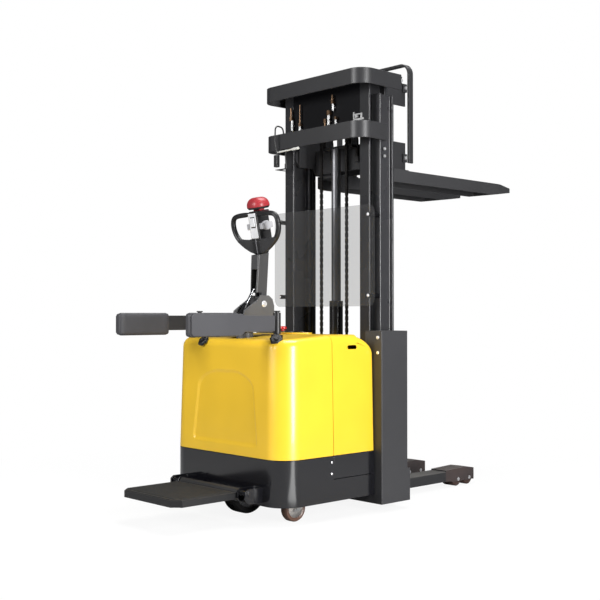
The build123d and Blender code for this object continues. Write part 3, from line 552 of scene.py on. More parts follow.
def hood_block():
    """Give the closed hood block: drafted sides, sloping rear top, rounded corners and rim."""
    form = bmesh.new()
    slab(form, (-0.427, 0.427), (-0.785, -0.180), (hood_low, hood_top))
    bmesh.ops.bisect_plane(
        form, geom=form.verts[:] + form.edges[:] + form.faces[:], plane_co=(0, -0.46, 0), plane_no=(0, 1, 0)
    )
    for vert in form.verts:
        if vert.co.z > 0.8 and vert.co.y < -0.7:
            vert.co.z -= 0.022
    uprights = [
        edge for edge in form.edges
        if abs(edge.verts[0].co.z - edge.verts[1].co.z) > 0.3 and edge.verts[0].co.y < -0.7
    ]
    bmesh.ops.bevel(form, geom=uprights, offset=0.115, segments=20, profile=0.5, affect="EDGES", material=-1)
    brow = [
        edge for edge in form.edges
        if all(vert.co.z > 0.87 and vert.co.y > -0.2 for vert in edge.verts)
    ]
    bmesh.ops.bevel(form, geom=brow, offset=brow_high, segments=20, profile=0.5, affect="EDGES", material=-1)
    rim = [
        edge for edge in form.edges
        if edge.calc_face_angle(0.0) > math.radians(50)
        and ((edge.verts[0].co + edge.verts[1].co).z > 1.44 or min(vert.co.y for vert in edge.verts) > -0.19)
        and max(vert.co.z for vert in edge.verts) > 0.6
    ]
    bmesh.ops.bevel(form, geom=rim, offset=rim_round, segments=8, profile=0.5, affect="EDGES", material=-1)
    middle = Vector((0.0, -0.180 - brow_high, hood_top - brow_high))
    for vert in form.verts:
        inward = 0.427 - abs(vert.co.x)
        if vert.co.y < middle.y + 0.0001 or inward > rim_round:
            continue
        arm = Vector((0.0, vert.co.y - middle.y, max(0.0, vert.co.z - middle.z)))
        turned = math.atan2(arm.z, arm.y) / (math.pi / 2)
        share = 0.16 + 0.84 * smoothstep(0.0, 1.0, turned)
        vert.co.x = math.copysign(0.427 - share * inward, vert.co.x)
        sunk = brow_high - arm.length
        vert.co += arm.normalized() * sunk * (1.0 - share)
    for vert in form.verts:
        if vert.co.y > middle.y:
            vert.co.y = -0.180 - (-0.180 - vert.co.y) * brow_long / brow_high
    draft = math.tan(math.radians(1.3))
    for vert in form.verts:
        rise = vert.co.z - hood_low
        vert.co.x *= 1.0 - draft * rise / 0.427
        vert.co.y += draft * rise * min(1.0, max(0.0, (-0.46 - vert.co.y) / 0.325))
    bottom = [face for face in form.faces if face.normal.z < -0.9]
    bmesh.ops.delete(form, geom=bottom, context="FACES")
    return form


def keep_side(form, point, normal):
    """Cut a bmesh with a plane and drop what lies on the normal's side."""
    bmesh.ops.bisect_plane(
        form, geom=form.verts[:] + form.edges[:] + form.faces[:], plane_co=point, plane_no=normal,
        clear_outer=True,
    )


def shell_piece(name, form, node, sharp=40):
    """Give a sheet its 4 mm wall inwards."""
    bmesh.ops.remove_doubles(form, verts=form.verts, dist=0.0003)
    piece = place(name, form, (yellow_shell,), nodes[node]["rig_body"], "yellow_hood", (node,), sharp)
    wall = piece.modifiers.new("wall", "SOLIDIFY")
    wall.thickness = 0.004
    wall.offset = -1.0
    return piece


def cut_away(piece, name, form):
    """Cut a bmesh's shape out of a piece."""
    mesh = bpy.data.meshes.new(name)
    form.to_mesh(mesh)
    form.free()
    cutter = bpy.data.objects.new(name, mesh)
    bpy.context.scene.collection.objects.link(cutter)
    cut = piece.modifiers.new(name, "BOOLEAN")
    cut.object = cutter
    cut.solver = "EXACT"
    bpy.context.view_layer.objects.active = piece
    for modifier in [modifier.name for modifier in piece.modifiers]:
        bpy.ops.object.modifier_apply(modifier=modifier)
    bpy.data.objects.remove(cutter)


arch_low, arch_shoulder, arch_top = 0.350, 0.610, 0.705


def arch_depth(x, z):
    """Say how far, in metres, a point lies inside the sunk arch of the rear face."""
    half = 0.250 - 0.035 * (z - arch_low) / (arch_shoulder - arch_low)
    if z > arch_shoulder:
        share = min(1.0, (z - arch_shoulder) / (arch_top - arch_shoulder))
        half = 0.215 * math.sqrt(1.0 - share ** 2.2)
    corner = max(0.0, arch_low + 0.030 - z)
    half -= 0.030 - math.sqrt(max(0.0, 0.0009 - corner * corner))
    return min(half - abs(x), z - arch_low, (arch_top - z) * 1.0)


rear_form = hood_block()
keep_side(rear_form, (0, -0.4615, 0), (0, 1, 0))
panel = [face for face in rear_form.faces if face.normal.y < -0.97 and face.calc_area() > 0.1]
touched = {part for face in panel for part in (face, *face.edges, *face.verts)}
for axis, low, high, count in (("x", -0.290, 0.290, 98), ("z", 0.315, 0.740, 72)):
    for step in range(count + 1):
        level = low + (high - low) * step / count
        point, normal = ((level, 0, 0), (1, 0, 0)) if axis == "x" else ((0, 0, level), (0, 0, 1))
        touched = {part for part in touched if part.is_valid}
        cut = bmesh.ops.bisect_plane(rear_form, geom=list(touched), plane_co=point, plane_no=normal)
        touched = {part for part in cut["geom"] if part.is_valid}
for vert in rear_form.verts:
    if vert.co.y < -0.765 and abs(vert.co.x) < 0.285 and 0.320 < vert.co.z < 0.735:
        vert.co.y += 0.006 * smoothstep(0.0, 0.014, arch_depth(vert.co.x, vert.co.z))
hood_rear_shell = shell_piece("hood_rear_shell", rear_form, "hood_rear", sharp=50)
steering_hole = bmesh.new()
rod(steering_hole, (0, -0.652, 0.800), (0, 0, 1), 0.070, 0.120, 64)
cut_away(hood_rear_shell, "steering_hole", steering_hole)

front_form = hood_block()
keep_side(front_form, (0, -0.4585, 0), (0, -1, 0))
keep_side(front_form, (0.380, 0, 0), (1, 0, 0))
shell_piece("hood_front_shell", front_form, "hood_front")

door_form = hood_block()
keep_side(door_form, (0, -0.4585, 0), (0, -1, 0))
keep_side(door_form, (0.382, 0, 0), (-1, 0, 0))
door_shell = shell_piece("door_shell", door_form, "battery_door")
hand_slot = bmesh.new()
ends = bmesh.ops.create_circle(hand_slot, cap_ends=True, segments=32, radius=0.010)["verts"]
bmesh.ops.rotate(hand_slot, verts=ends, cent=(0, 0, 0), matrix=Matrix.Rotation(math.radians(90), 3, "Y"))
for vert in ends:
    vert.co.y += math.copysign(0.022, vert.co.y)
bmesh.ops.translate(hand_slot, verts=ends, vec=(0.370, -0.323, 0.813))
deep = bmesh.ops.extrude_face_region(hand_slot, geom=hand_slot.faces[:])["geom"]
pushed = [part for part in deep if isinstance(part, bmesh.types.BMVert)]
bmesh.ops.translate(hand_slot, verts=pushed, vec=(0.080, 0.0, 0.0))
bmesh.ops.recalc_face_normals(hand_slot, faces=hand_slot.faces)
cut_away(door_shell, "hand_slot", hand_slot)

door_foot = bmesh.new()
slab(door_foot, (0.4212, 0.427), (-0.4585, -0.1805), (0.192, 0.3024))
round_edges(
    place("door_foot", door_foot, (skirt_enamel,), "battery_door", "skirt_paint", sharp=30), 0.001
)

# ---------------------------------------------------------------------------
# Instrument panel on the hood: an oval black bezel with a round battery
# gauge, a key barrel, and the red stop button on its own collar.
black_moulding = urethane("black_moulding", (0.014, 0.014, 0.015), 0.42)
red_gloss = moulded("red_gloss", (0.55, 0.012, 0.012), 0.25, 0.4)
red_cap = moulded("red_cap", (0.36, 0.026, 0.034), 0.42, 0.15)
pale_moulding = urethane("pale_moulding", (0.42, 0.42, 0.44), 0.45)
white_moulding = urethane("white_moulding", (0.80, 0.81, 0.83), 0.45)
spine_grey = urethane("spine_grey", (0.16, 0.16, 0.17), 0.45)
panel_x, panel_y = 0.065, -0.372
bezel = bmesh.new()
rings = []
for rise, reach in ((0.0, 1.0), (0.0045, 1.0), (0.0068, 0.972), (0.0068, 0.90), (0.0054, 0.87)):
    ring = []
    for step in range(64):
        angle = math.tau * step / 64
        ring.append(bezel.verts.new((
            panel_x + 0.105 * reach * math.cos(angle),
            panel_y + (0.055 - 0.105 * (1.0 - reach)) * math.sin(angle),
            hood_top + rise,
        )))
    rings.append([bezel.edges.new((ring[i], ring[(i + 1) % 64])) for i in range(64)])
for lower, upper in zip(rings, rings[1:]):
    bmesh.ops.bridge_loops(bezel, edges=lower + upper)
bmesh.ops.contextual_create(bezel, geom=rings[-1])
bmesh.ops.contextual_create(bezel, geom=rings[0])
rod(bezel, (panel_x - 0.040, panel_y, hood_top + 0.004), (0, 0, 1), 0.026, 0.0068, 48)
rod(bezel, (panel_x + 0.048, panel_y, hood_top + 0.004), (0, 0, 1), 0.016, 0.0078, 40)
turn(bezel, (-0.112, -0.298, hood_top), (0, 0, 1), (
    (0.0, 0.0094), (0.0, 0.024), (0.0100, 0.024), (0.0118, 0.0215), (0.0118, 0.0094),
))
for face in bezel.faces:
    spot = face.calc_center_median() - Vector((panel_x, panel_y, hood_top))
    face.material_index = 1 if (spot.x / 0.105) ** 2 + (spot.y / 0.055) ** 2 > 0.72 and spot.x > -0.12 else 0
place(
    "panel_bezel", bezel, (black_moulding, yellow_shell), "chassis", "black_plastic", ("instrument_panel",),
    sharp=30,
)
dial = bmesh.new()
rod(dial, (panel_x - 0.040, panel_y, hood_top + 0.0102), (0, 0, 1), 0.021, 0.0008, 40)
rod(dial, (panel_x + 0.048, panel_y, hood_top + 0.0102), (0, 0, 1), 0.010, 0.0018, 32)
place("panel_dial", dial, (hub_steel,), "chassis", "bright_steel")
stop = bmesh.new()
rod(stop, (-0.112, -0.298, hood_top + 0.008), (0, 0, 1), 0.009, 0.016, 32)
turn(stop, (-0.112, -0.298, hood_top + 0.020), (0, 0, 1), (
    (0.0, 0.0), (0.0, 0.0165), (0.0035, 0.0198), (0.0090, 0.0200), (0.0128, 0.0180), (0.0155, 0.0120),
    (0.0160, 0.0),
))
bmesh.ops.remove_doubles(stop, verts=stop.verts, dist=0.00002)
place("stop_mushroom", stop, (red_gloss,), "estop_button", "red_plastic", ("estop_button",), sharp=30)

# ---------------------------------------------------------------------------
# Casters under the skirt's rear corners: zinc-plated pressed forks on a swivel
# race, with grey-brown urethane wheels on bearings.
zinc_plate = bare_metal("zinc_plate", (0.62, 0.62, 0.62), 0.30)
caster_tread = urethane("caster_tread", (0.130, 0.070, 0.050), 0.35)
caster_hub = bare_metal("caster_hub", (0.80, 0.76, 0.72), 0.28)
tyre_rubber = urethane("tyre_rubber", (0.012, 0.012, 0.012), 0.45)
bolt_zinc = bare_metal("bolt_zinc", (0.92, 0.92, 0.93), 0.50)
for side, sign in (("left", -1), ("right", 1)):
    dress(f"caster_fork_{side}", zinc_plate, 0.001)
    caster = bmesh.new()
    centre = (sign * 0.322, -0.625, 0.0625)
    turn(caster, centre, (1, 0, 0), (
        (-0.0218, 0.0200), (-0.0180, 0.0440), (-0.0215, 0.0500), (-0.0200, 0.0590), (-0.0140, 0.0622),
        (0.0140, 0.0622), (0.0200, 0.0590), (0.0215, 0.0500), (0.0180, 0.0440), (0.0218, 0.0200),
        (0.0218, 0.0084), (-0.0218, 0.0084),
    ))
    for face in caster.faces:
        reach = (face.calc_center_median() - Vector(centre)).yz.length
        face.material_index = 0 if reach > 0.046 else 1
    place(
        f"caster_roller_{side}", caster, (caster_tread, caster_hub), f"caster_wheel_{side}",
        "wheel_tread", (f"caster_wheel_{side}",),
    )

# ---------------------------------------------------------------------------
# Drive wheel under the deck: solid urethane tyre with grooves on a cast hub.
drive_form = bmesh.new()
drive_centre = (0, -0.652, 0.115)
turn(drive_form, drive_centre, (1, 0, 0), (
    (-0.0380, 0.0850), (-0.0375, 0.1060), (-0.0310, 0.1145), (-0.0130, 0.1148), (-0.0120, 0.1110),
    (-0.0080, 0.1110), (-0.0070, 0.1148), (0.0070, 0.1148), (0.0080, 0.1110), (0.0120, 0.1110),
    (0.0130, 0.1148), (0.0310, 0.1145), (0.0375, 0.1060), (0.0380, 0.0850), (0.0300, 0.0800),
    (0.0300, 0.0400), (0.0375, 0.0360), (0.0375, 0.0224), (-0.0375, 0.0224), (-0.0375, 0.0360),
    (-0.0300, 0.0400), (-0.0300, 0.0800),
), 64)
for face in drive_form.faces:
    reach = (face.calc_center_median() - Vector(drive_centre)).yz.length
    face.material_index = 0 if reach > 0.083 else 1
place(
    "drive_tyre", drive_form, (tyre_rubber, drive_grey), "drive_wheel", "wheel_tread", ("drive_wheel",)
)

# ---------------------------------------------------------------------------
# Steering yoke on the motor shaft: a plate with two cheeks that carry the
# tiller pivot, and the gas spring that holds the tiller up.
yoke_enamel = sprayed("yoke_enamel", (0.100, 0.100, 0.102), 0.45, grain=0.3, spread=0.5)
dress("steer_yoke", yoke_enamel, 0.0015)
tube_black = sprayed("tube_black", (0.008, 0.008, 0.009), 0.22, coat=0.4)
chrome = bare_metal("chrome", (0.55, 0.56, 0.58), 0.22, 20.0, 0.0)
dress("gas_spring", tube_black, 0.001)
dress("gas_rod", chrome, 0)
pivot = Vector((0.0, -0.566, 1.024))
pivot_caps = bmesh.new()
for sign in (-1, 1):
    rod(pivot_caps, pivot + Vector((sign * 0.0445, 0, 0)), (sign, 0, 0), 0.016, 0.0030, 32)
    rod(pivot_caps, pivot + Vector((sign * 0.0475, 0, 0)), (sign, 0, 0), 0.0125, 0.0075, 6)
place("pivot_nuts", pivot_caps, (bolt_zinc,), "steer_unit", "bright_steel")

# ---------------------------------------------------------------------------
# Tiller arm: a folded black steel channel, and the moulded head that it
# carries: a closed hand ring, a solid lower shell and a deep middle pod.
arm_enamel = sprayed("arm_enamel", (0.058, 0.058, 0.060), 0.42, grain=0.06)
tiller_tube = dress("tiller_arm", arm_enamel, 0.0012)
for vert in tiller_tube.data.vertices:
    if vert.co.z > pivot.z + 0.060:
        vert.co.x *= 1.19

head_lean = math.radians(12.0)
head_foot = pivot + Vector((0.0, math.sin(math.radians(3.0)), math.cos(math.radians(3.0)))) * 0.250
head_turn = Matrix.Translation(head_foot) @ Matrix.Rotation(head_lean, 4, "X")


def in_head(form, verts):
    """Move points given as (x, forward, height) in the head to their place on the truck."""
    bmesh.ops.transform(form, matrix=head_turn, verts=verts)


grip_black = urethane("grip_black", (0.012, 0.012, 0.013), 0.38)
ring_corners = (
    (0.016, 0.200), (0.125, 0.200), (0.158, 0.190), (0.169, 0.166), (0.171, 0.140), (0.164, 0.110),
    (0.148, 0.082), (0.118, 0.056), (0.084, 0.036), (0.040, 0.014),
)
for sign in (1, -1):
    ring = bmesh.new()
    rings = []
    for index, (x, height) in enumerate(ring_corners):
        ahead = ring_corners[min(index + 1, len(ring_corners) - 1)]
        behind = ring_corners[max(index - 1, 0)]
        along = Vector((sign * (ahead[0] - behind[0]), 0.0, ahead[1] - behind[1])).normalized()
        across = Vector((0.0, 1.0, 0.0)).cross(along)
        deep = 0.0135 if 0 < index < 7 else 0.0130
        wide = 0.0130 if index < 8 else 0.0110
        loop = []
        for step in range(20):
            angle = math.tau * step / 20
            spot = Vector((sign * x, 0.0, height))
            loop.append(ring.verts.new(
                spot + across * wide * math.cos(angle) + Vector((0.0, deep * math.sin(angle), 0.0))
            ))
        rings.append([ring.edges.new((loop[i], loop[(i + 1) % 20])) for i in range(20)])
    for first, second in zip(rings, rings[1:]):
        bmesh.ops.bridge_loops(ring, edges=first + second)
    for end in (rings[0], rings[-1]):
        bmesh.ops.contextual_create(ring, geom=end)
    in_head(ring, ring.verts[:])
    grip = place(
        "grip_right" if sign > 0 else "grip_left", ring, (grip_black,), "tiller", "black_plastic", sharp=50
    )
    smooth = grip.modifiers.new("smooth", "SUBSURF")
    smooth.levels = 2
    smooth.render_levels = 2

shell_grey = urethane("shell_grey", (0.034, 0.034, 0.036), 0.45)
lower = bmesh.new()
outline = (
    (0.0, 0.000), (0.026, 0.001), (0.060, 0.012), (0.094, 0.030), (0.122, 0.049), (0.146, 0.068),
    (0.150, 0.080), (0.126, 0.080), (0.110, 0.077), (0.070, 0.074), (0.034, 0.078), (0.0, 0.082),
)
front_loop = [lower.verts.new((x, 0.012, height)) for x, height in outline]
front_loop += [lower.verts.new((-x, 0.012, height)) for x, height in reversed(outline[1:-1])]
face = lower.faces.new(front_loop)
raised = bmesh.ops.extrude_face_region(lower, geom=[face])["geom"]
moved = [part for part in raised if isinstance(part, bmesh.types.BMVert)]
bmesh.ops.translate(lower, verts=moved, vec=(0.0, -0.0255, 0.0))
in_head(lower, lower.verts[:])
round_edges(place("head_shell", lower, (shell_grey,), "tiller", "black_plastic", sharp=30), 0.006, 4, 40)

pod = bmesh.new()
slab(pod, (-0.033, 0.033), (-0.015, 0.0695), (0.064, 0.207))
slab(pod, (-0.033, 0.033), (-0.0155, 0.036), (0.001, 0.066))
in_head(pod, pod.verts[:])
round_edges(
    place("head_pod", pod, (black_moulding,), "tiller", "black_plastic", ("tiller_head",), sharp=30),
    0.007, 4, 40,
)
ridge = bmesh.new()
slab(ridge, (-0.0265, 0.0265), (-0.0162, -0.012), (0.080, 0.132))
slab(ridge, (-0.0265, 0.0265), (-0.0162, -0.012), (0.187, 0.205))
for x in (-0.022, 0.022):
    slab(ridge, (x - 0.0045, x + 0.0045), (-0.0162, -0.012), (0.131, 0.188))
in_head(ridge, ridge.verts[:])
round_edges(place("head_plate", ridge, (white_moulding,), "tiller", "grey_plastic", sharp=30), 0.0008, 2)
spine = bmesh.new()
slab(spine, (-0.0035, 0.0035), (-0.0162, -0.012), (0.004, 0.078))
in_head(spine, spine.verts[:])
round_edges(place("head_spine", spine, (spine_grey,), "tiller", "grey_plastic", sharp=30), 0.0012, 2)
neck = bmesh.new()
slab(neck, (-0.031, 0.031), (-0.008, 0.078), (0.196, 0.2135))
in_head(neck, neck.verts[:])
round_edges(place("head_neck", neck, (black_moulding,), "tiller", "black_plastic", sharp=30), 0.004, 3)

rocker_form = bmesh.new()
slab(rocker_form, (-0.015, 0.015), (-0.0200, -0.0120), (0.138, 0.182))
rod(rocker_form, (-0.0165, -0.012, 0.160), (1, 0, 0), 0.003, 0.033, 16)
in_head(rocker_form, rocker_form.verts[:])
round_edges(
    place("rocker_key", rocker_form, (white_moulding,), "lift_rocker", "grey_plastic", ("lift_rocker",)),
    0.002, 3,
)

wings = bmesh.new()
for sign in (-1, 1):
    at = (sign * 0.035, 0.028, 0.138)
    turn(wings, at, (sign, 0, 0), (
        (0.0, 0.0), (0.0, 0.0205), (0.003, 0.0235), (0.020, 0.0235), (0.0235, 0.0205), (0.024, 0.0),
    ), 40)
    rod(wings, (sign * 0.026, 0.028, 0.138), (sign, 0, 0), 0.005, 0.010, 16)
    wing = slab(wings, (-0.010, 0.010), (-0.037, 0.037), (-0.0150, 0.0150))
    bmesh.ops.translate(wings, verts=wing, vec=(sign * 0.0475, 0.028, 0.138))
bmesh.ops.remove_doubles(wings, verts=wings.verts, dist=0.00002)
in_head(wings, wings.verts[:])
round_edges(
    place("throttle_wings", wings, (pale_moulding,), "throttle", "grey_plastic", ("throttle",)), 0.003, 3, 50
)

horn = bmesh.new()
turn(horn, (0.170, 0.0, 0.150), (1, 0, 0), (
    (0.0, 0.0), (0.0, 0.006), (0.027, 0.006), (0.0292, 0.0048), (0.030, 0.003), (0.030, 0.0),
), 24)
bmesh.ops.remove_doubles(horn, verts=horn.verts, dist=0.00002)
in_head(horn, horn.verts[:])
place("horn_plunger", horn, (black_moulding,), "horn_button", "black_plastic", ("horn_button",))

cap = bmesh.new()
slab(cap, (-0.056, 0.056), (-0.014, 0.090), (0.222, 0.280))
uprights = [edge for edge in cap.edges if abs(edge.verts[0].co.z - edge.verts[1].co.z) > 0.03]
bmesh.ops.bevel(cap, geom=uprights, offset=0.046, segments=12, profile=0.5, affect="EDGES", material=-1)
brim = [edge for edge in cap.edges if all(vert.co.z > 0.279 for vert in edge.verts)]
bmesh.ops.bevel(cap, geom=brim, offset=0.040, segments=12, profile=0.5, affect="EDGES", material=-1)
bmesh.ops.bisect_plane(
    cap, geom=cap.verts[:] + cap.edges[:] + cap.faces[:], plane_co=(0, 0, 0.232), plane_no=(0, 0, 1)
)
for vert in cap.verts:
    if vert.co.z < 0.2315:
        vert.co.x *= 0.86
        vert.co.y = 0.038 + (vert.co.y - 0.038) * 0.86
for face in cap.faces:
    face.material_index = 1 if face.calc_center_median().z < 0.2321 else 0
slab(cap, (-0.022, 0.022), (0.021, 0.055), (0.194, 0.223))
in_head(cap, cap.verts[:])
place("belly_cap", cap, (red_cap, black_moulding), "belly_button", "red_plastic", ("belly_button",), sharp=45)

# ---------------------------------------------------------------------------
# Rider platform: folded steel tray hinged between two brackets, with a ribbed
# rubber mat that stops short of the edge.
platform_enamel = sprayed("platform_enamel", (0.014, 0.014, 0.015), 0.40, grain=0.05, dust_and_top_light=0.1)
dress("platform_brackets", skirt_enamel, 0.0015)
dress("platform_deck", platform_enamel, 0.0015)
deck_corners = bmesh.new()
for sign in (-1, 1):
    corner = slab(deck_corners, (-0.0262, 0.0262), (0.0002, 0.006), (0.1215, 0.1515))
    skew = Matrix.Rotation(sign * math.radians(45), 3, "Z")
    bmesh.ops.rotate(deck_corners, verts=corner, cent=(0, 0, 0), matrix=skew)
    bmesh.ops.translate(deck_corners, verts=corner, vec=(sign * 0.201, -1.211, 0.0))
place("deck_corners", deck_corners, (platform_enamel,), "platform", slot_of["platform_deck"])
mat_rubber = urethane("mat_rubber", (0.018, 0.0178, 0.0175), 0.62)
mat = bmesh.new()
corners = (
    (-0.212, -0.908), (0.212, -0.908), (0.212, -1.192), (0.178, -1.226), (-0.178, -1.226), (-0.212, -1.192),
)
sheet = mat.faces.new([mat.verts.new((x, y, 0.1522)) for x, y in corners])
grown = bmesh.ops.extrude_face_region(mat, geom=[sheet])["geom"]
lifted = [part for part in grown if isinstance(part, bmesh.types.BMVert)]
bmesh.ops.translate(mat, verts=lifted, vec=(0, 0, 0.0036))
rib_x = -0.198
while rib_x < 0.199:
    low = -1.212 if abs(rib_x) < 0.175 else -1.185
    slab(mat, (rib_x, rib_x + 0.006), (low, -0.920), (0.1550, 0.1579))
    rib_x += 0.012
place("platform_mat_ribbed", mat, (mat_rubber,), "platform", "deck_rubber", ("platform_mat",), sharp=30)

# ---------------------------------------------------------------------------
# Side arms: flat steel arms that swing on posts, each with a moulded foam pad
# on its inner face.
arm_paint = sprayed(
    "arm_paint", (0.070, 0.070, 0.076), 0.38, grain=0.04, tip=(-0.723, (0.014, 0.014, 0.015), 1.0)
)
post_enamel = sprayed("post_enamel", (0.012, 0.012, 0.013), 0.35)
dress("arm_posts", post_enamel, 0.0015)
pad_foam = urethane("pad_foam", (0.050, 0.050, 0.056), 0.55)
# The far arm wears a darker copy of the arm paint: painted shade.
far_arm_painted_shade = sprayed("far_arm_painted_shade", (0.022, 0.022, 0.024), 0.42, grain=0.3)
for side, sign in (("left", -1), ("right", 1)):
    dress(f"side_arm_{side}", far_arm_painted_shade if sign < 0 else arm_paint, 0.0015)
    lug = bmesh.new()
    bmesh.ops.create_cone(
        lug, cap_ends=True, segments=6, radius1=0.034, radius2=0.027, depth=0.012,
        matrix=Matrix.Rotation(math.radians(18), 4, "Z"),
    )
    rod(lug, (0, 0, 0.005), (0, 0, 1), 0.013, 0.009, 6)
    facing = Vector((0.50, -0.55, 0.67) if sign > 0 else (0.0, -0.74, 0.67))
    spot = (0.334, -0.742, 0.858) if sign > 0 else (-0.180, -0.772, 0.842)
    outward = Matrix.Translation(spot) @ facing.to_track_quat("Z", "Y").to_matrix().to_4x4()
    bmesh.ops.transform(lug, matrix=outward, verts=lug.verts)
    round_edges(place(f"rim_lug_{side}", lug, (post_enamel,), "chassis", "black_paint"), 0.002, 2)
    pad = bmesh.new()
    bmesh.ops.create_cube(pad, size=2.0)
    bmesh.ops.subdivide_edges(pad, edges=pad.edges, cuts=15, use_grid_fill=True)
    for vert in pad.verts:
        spot = Vector((vert.co.x * 0.0180, vert.co.y * 0.1440, vert.co.z * 0.0540))
        core = Vector((
            min(0.006, max(-0.006, spot.x)), min(0.128, max(-0.128, spot.y)), min(0.038, max(-0.038, spot.z)),
        ))
        if (spot - core).length > 0:
            out = (spot - core).normalized()
            spot = core + Vector((out.x * 0.012, out.y * 0.016, out.z * 0.016))
        if vert.co.x > 0.999:
            spot.x = 0.0183
        elif spot.x < 0:
            spot.x -= 0.0004 + 0.0012 * (1 - (spot.y / 0.145) ** 2) * (1 - (spot.z / 0.055) ** 2)
        vert.co = (sign * (0.2725 + spot.x), spot.y - 1.064, spot.z + 0.925)
    arm_pad = place(
        f"pad_{side}", pad, (pad_foam,), f"side_arm_{side}", "pad_rubber", (f"arm_pad_{side}",), sharp=50
    )

# ---------------------------------------------------------------------------
# Outer mast: two rolled H-section rails bolted to the columns, tied high up by
# a bent flat bar, with the two main lift cylinders in front of them.
mast_enamel = sprayed("mast_enamel", (0.036, 0.036, 0.039), 0.28, grain=0.04, coat=0.2)
crown_enamel = sprayed("crown_enamel", (0.030, 0.030, 0.032), 0.38, grain=0.05)
# Near-black with little shine: black paint, made darker still as painted shade where it covers the inner
# ties' plate between the crowns.
black_with_painted_shade = sprayed("black_with_painted_shade", (0.004, 0.004, 0.005), 0.5, grain=0.03, shine=0.12)
dress("outer_rails", mast_enamel, 0.004, 3)


def bent_bar(form, half, rear, front, low, high, corner):
    """Add a 10 mm flat bar bent to a U with rounded rear corners."""
    path = [Vector((-half, front, 0.0))]
    for side, start in ((-1, 180.0), (1, 270.0)):
        for step in range(17):
            angle = math.radians(start + 90.0 * step / 16)
            path.append(Vector((
                side * (half - corner) + corner * math.cos(angle),
                rear + corner + corner * math.sin(angle),
                0.0,
            )))
    path.append(Vector((half, front, 0.0)))
    sections = []
    for index, spot in enumerate(path):
        along = (path[min(index + 1, len(path) - 1)] - path[max(index - 1, 0)]).normalized()
        inward = Vector((-along.y, along.x, 0.0)) * 0.010
        sections.append([
            form.verts.new((place.x, place.y, level))
            for place, level in ((spot, low), (spot, high), (spot + inward, high), (spot + inward, low))
        ])
    for near, far in zip(sections, sections[1:]):
        for edge in range(4):
            form.faces.new((near[edge], near[(edge + 1) % 4], far[(edge + 1) % 4], far[edge]))
    form.faces.new(sections[0])
    form.faces.new(sections[-1])


outer_bar = bmesh.new()
bent_bar(outer_bar, 0.371, -0.214, -0.015, 1.858, 1.943, 0.075)
for sign in (-1, 1):
    slab(outer_bar, tuple(sorted((sign * 0.350, sign * 0.3612))), (-0.050, -0.015), (1.8582, 1.9428))
round_edges(
    place("outer_crown_bar", outer_bar, (crown_enamel,), "chassis", slot_of["outer_crown"], ("outer_crown",)),
    0.0012, 2,
)
dress("lift_barrels", tube_black, 0)

# Clear guard in front of the operator, held by four bolts on spacers, with the
# hexagon bolts of the columns, skirt and wheel axles.
guard_clear = Shader("guard_clear")
guard_place = guard_clear.node("ShaderNodeTexCoord")["Object"]
guard_haze = guard_clear.node(
    "ShaderNodeTexNoise", {}, {"Vector": guard_place, "Scale": 6.0, "Detail": 3.0}
)["Fac"]
guard_gloss = guard_clear.node(
    "ShaderNodeBsdfPrincipled",
    {},
    {"Base Color": (0.50, 0.50, 0.51, 1.0), "Roughness": guard_haze * 0.1 + 0.04},
)
guard_through = guard_clear.node("ShaderNodeBsdfTransparent", {}, {"Color": (0.80, 0.80, 0.80, 1.0)})
guard_mix = guard_clear.node(
    "ShaderNodeMixShader", {}, {0: 0.05, 1: guard_through["BSDF"], 2: guard_gloss["BSDF"]}
)
guard_material = guard_clear.finish(guard_mix["Shader"])
guard = bmesh.new()
slab(guard, (-0.375, 0.375), (-0.122, -0.118), (1.013, 1.528))
corners = [edge for edge in guard.edges if abs(edge.verts[0].co.y - edge.verts[1].co.y) > 0.003]
bmesh.ops.bevel(guard, geom=corners, offset=0.042, segments=12, profile=0.5, affect="EDGES", material=-1)
place("guard_sheet", guard, (guard_material,), "chassis", "clear_panel", ("guard_panel",), sharp=40)

bolts = bmesh.new()
sleeves = bmesh.new()
for sign in (-1, 1):
    for level in (1.068, 1.478):
        rod(bolts, (sign * 0.333, -0.122, level), (0, 1, 0), 0.005, 0.072, 16)
        rod(sleeves, (sign * 0.333, -0.118, level), (0, 1, 0), 0.011, 0.068, 24)
        rod(bolts, (sign * 0.333, -0.1235, level), (0, 1, 0), 0.0080, 0.0014, 24)
        rod(bolts, (sign * 0.333, -0.127, level), (0, 1, 0), 0.0062, 0.0036, 6)
    for level in (0.783, 0.858):
        rod(bolts, (sign * 0.447, -0.1755, level), (0, 1, 0), 0.0085, 0.0016, 24)
        rod(bolts, (sign * 0.447, -0.179, level), (0, 1, 0), 0.0070, 0.0036, 6)
    for level in (0.217, 0.271):
        turn(bolts, (sign * 0.427, -0.472, level), (sign, 0, 0), (
            (0.0, 0.0), (0.0, 0.006), (0.0014, 0.0056), (0.0026, 0.0036), (0.0030, 0.0),
        ), 16)
    for axle_y in (0.727, 0.827):
        low = sign * 0.181 - 0.054
        rod(bolts, (low, axle_y, 0.040), (1, 0, 0), 0.010, 0.108, 24)
    for y, level in ((-0.069, 1.780), (-0.069, 1.817)):
        rod(bolts, (sign * 0.350, y + 0.050, level), (sign, 0, 0), 0.008, 0.006, 6)
bmesh.ops.remove_doubles(bolts, verts=bolts.verts, dist=0.00002)
place("guard_sleeves", sleeves, (black_with_painted_shade,), "chassis", "black_paint", sharp=30)
place("bolt_heads", bolts, (bolt_zinc,), "chassis", "bright_steel", ("fasteners",), sharp=30)

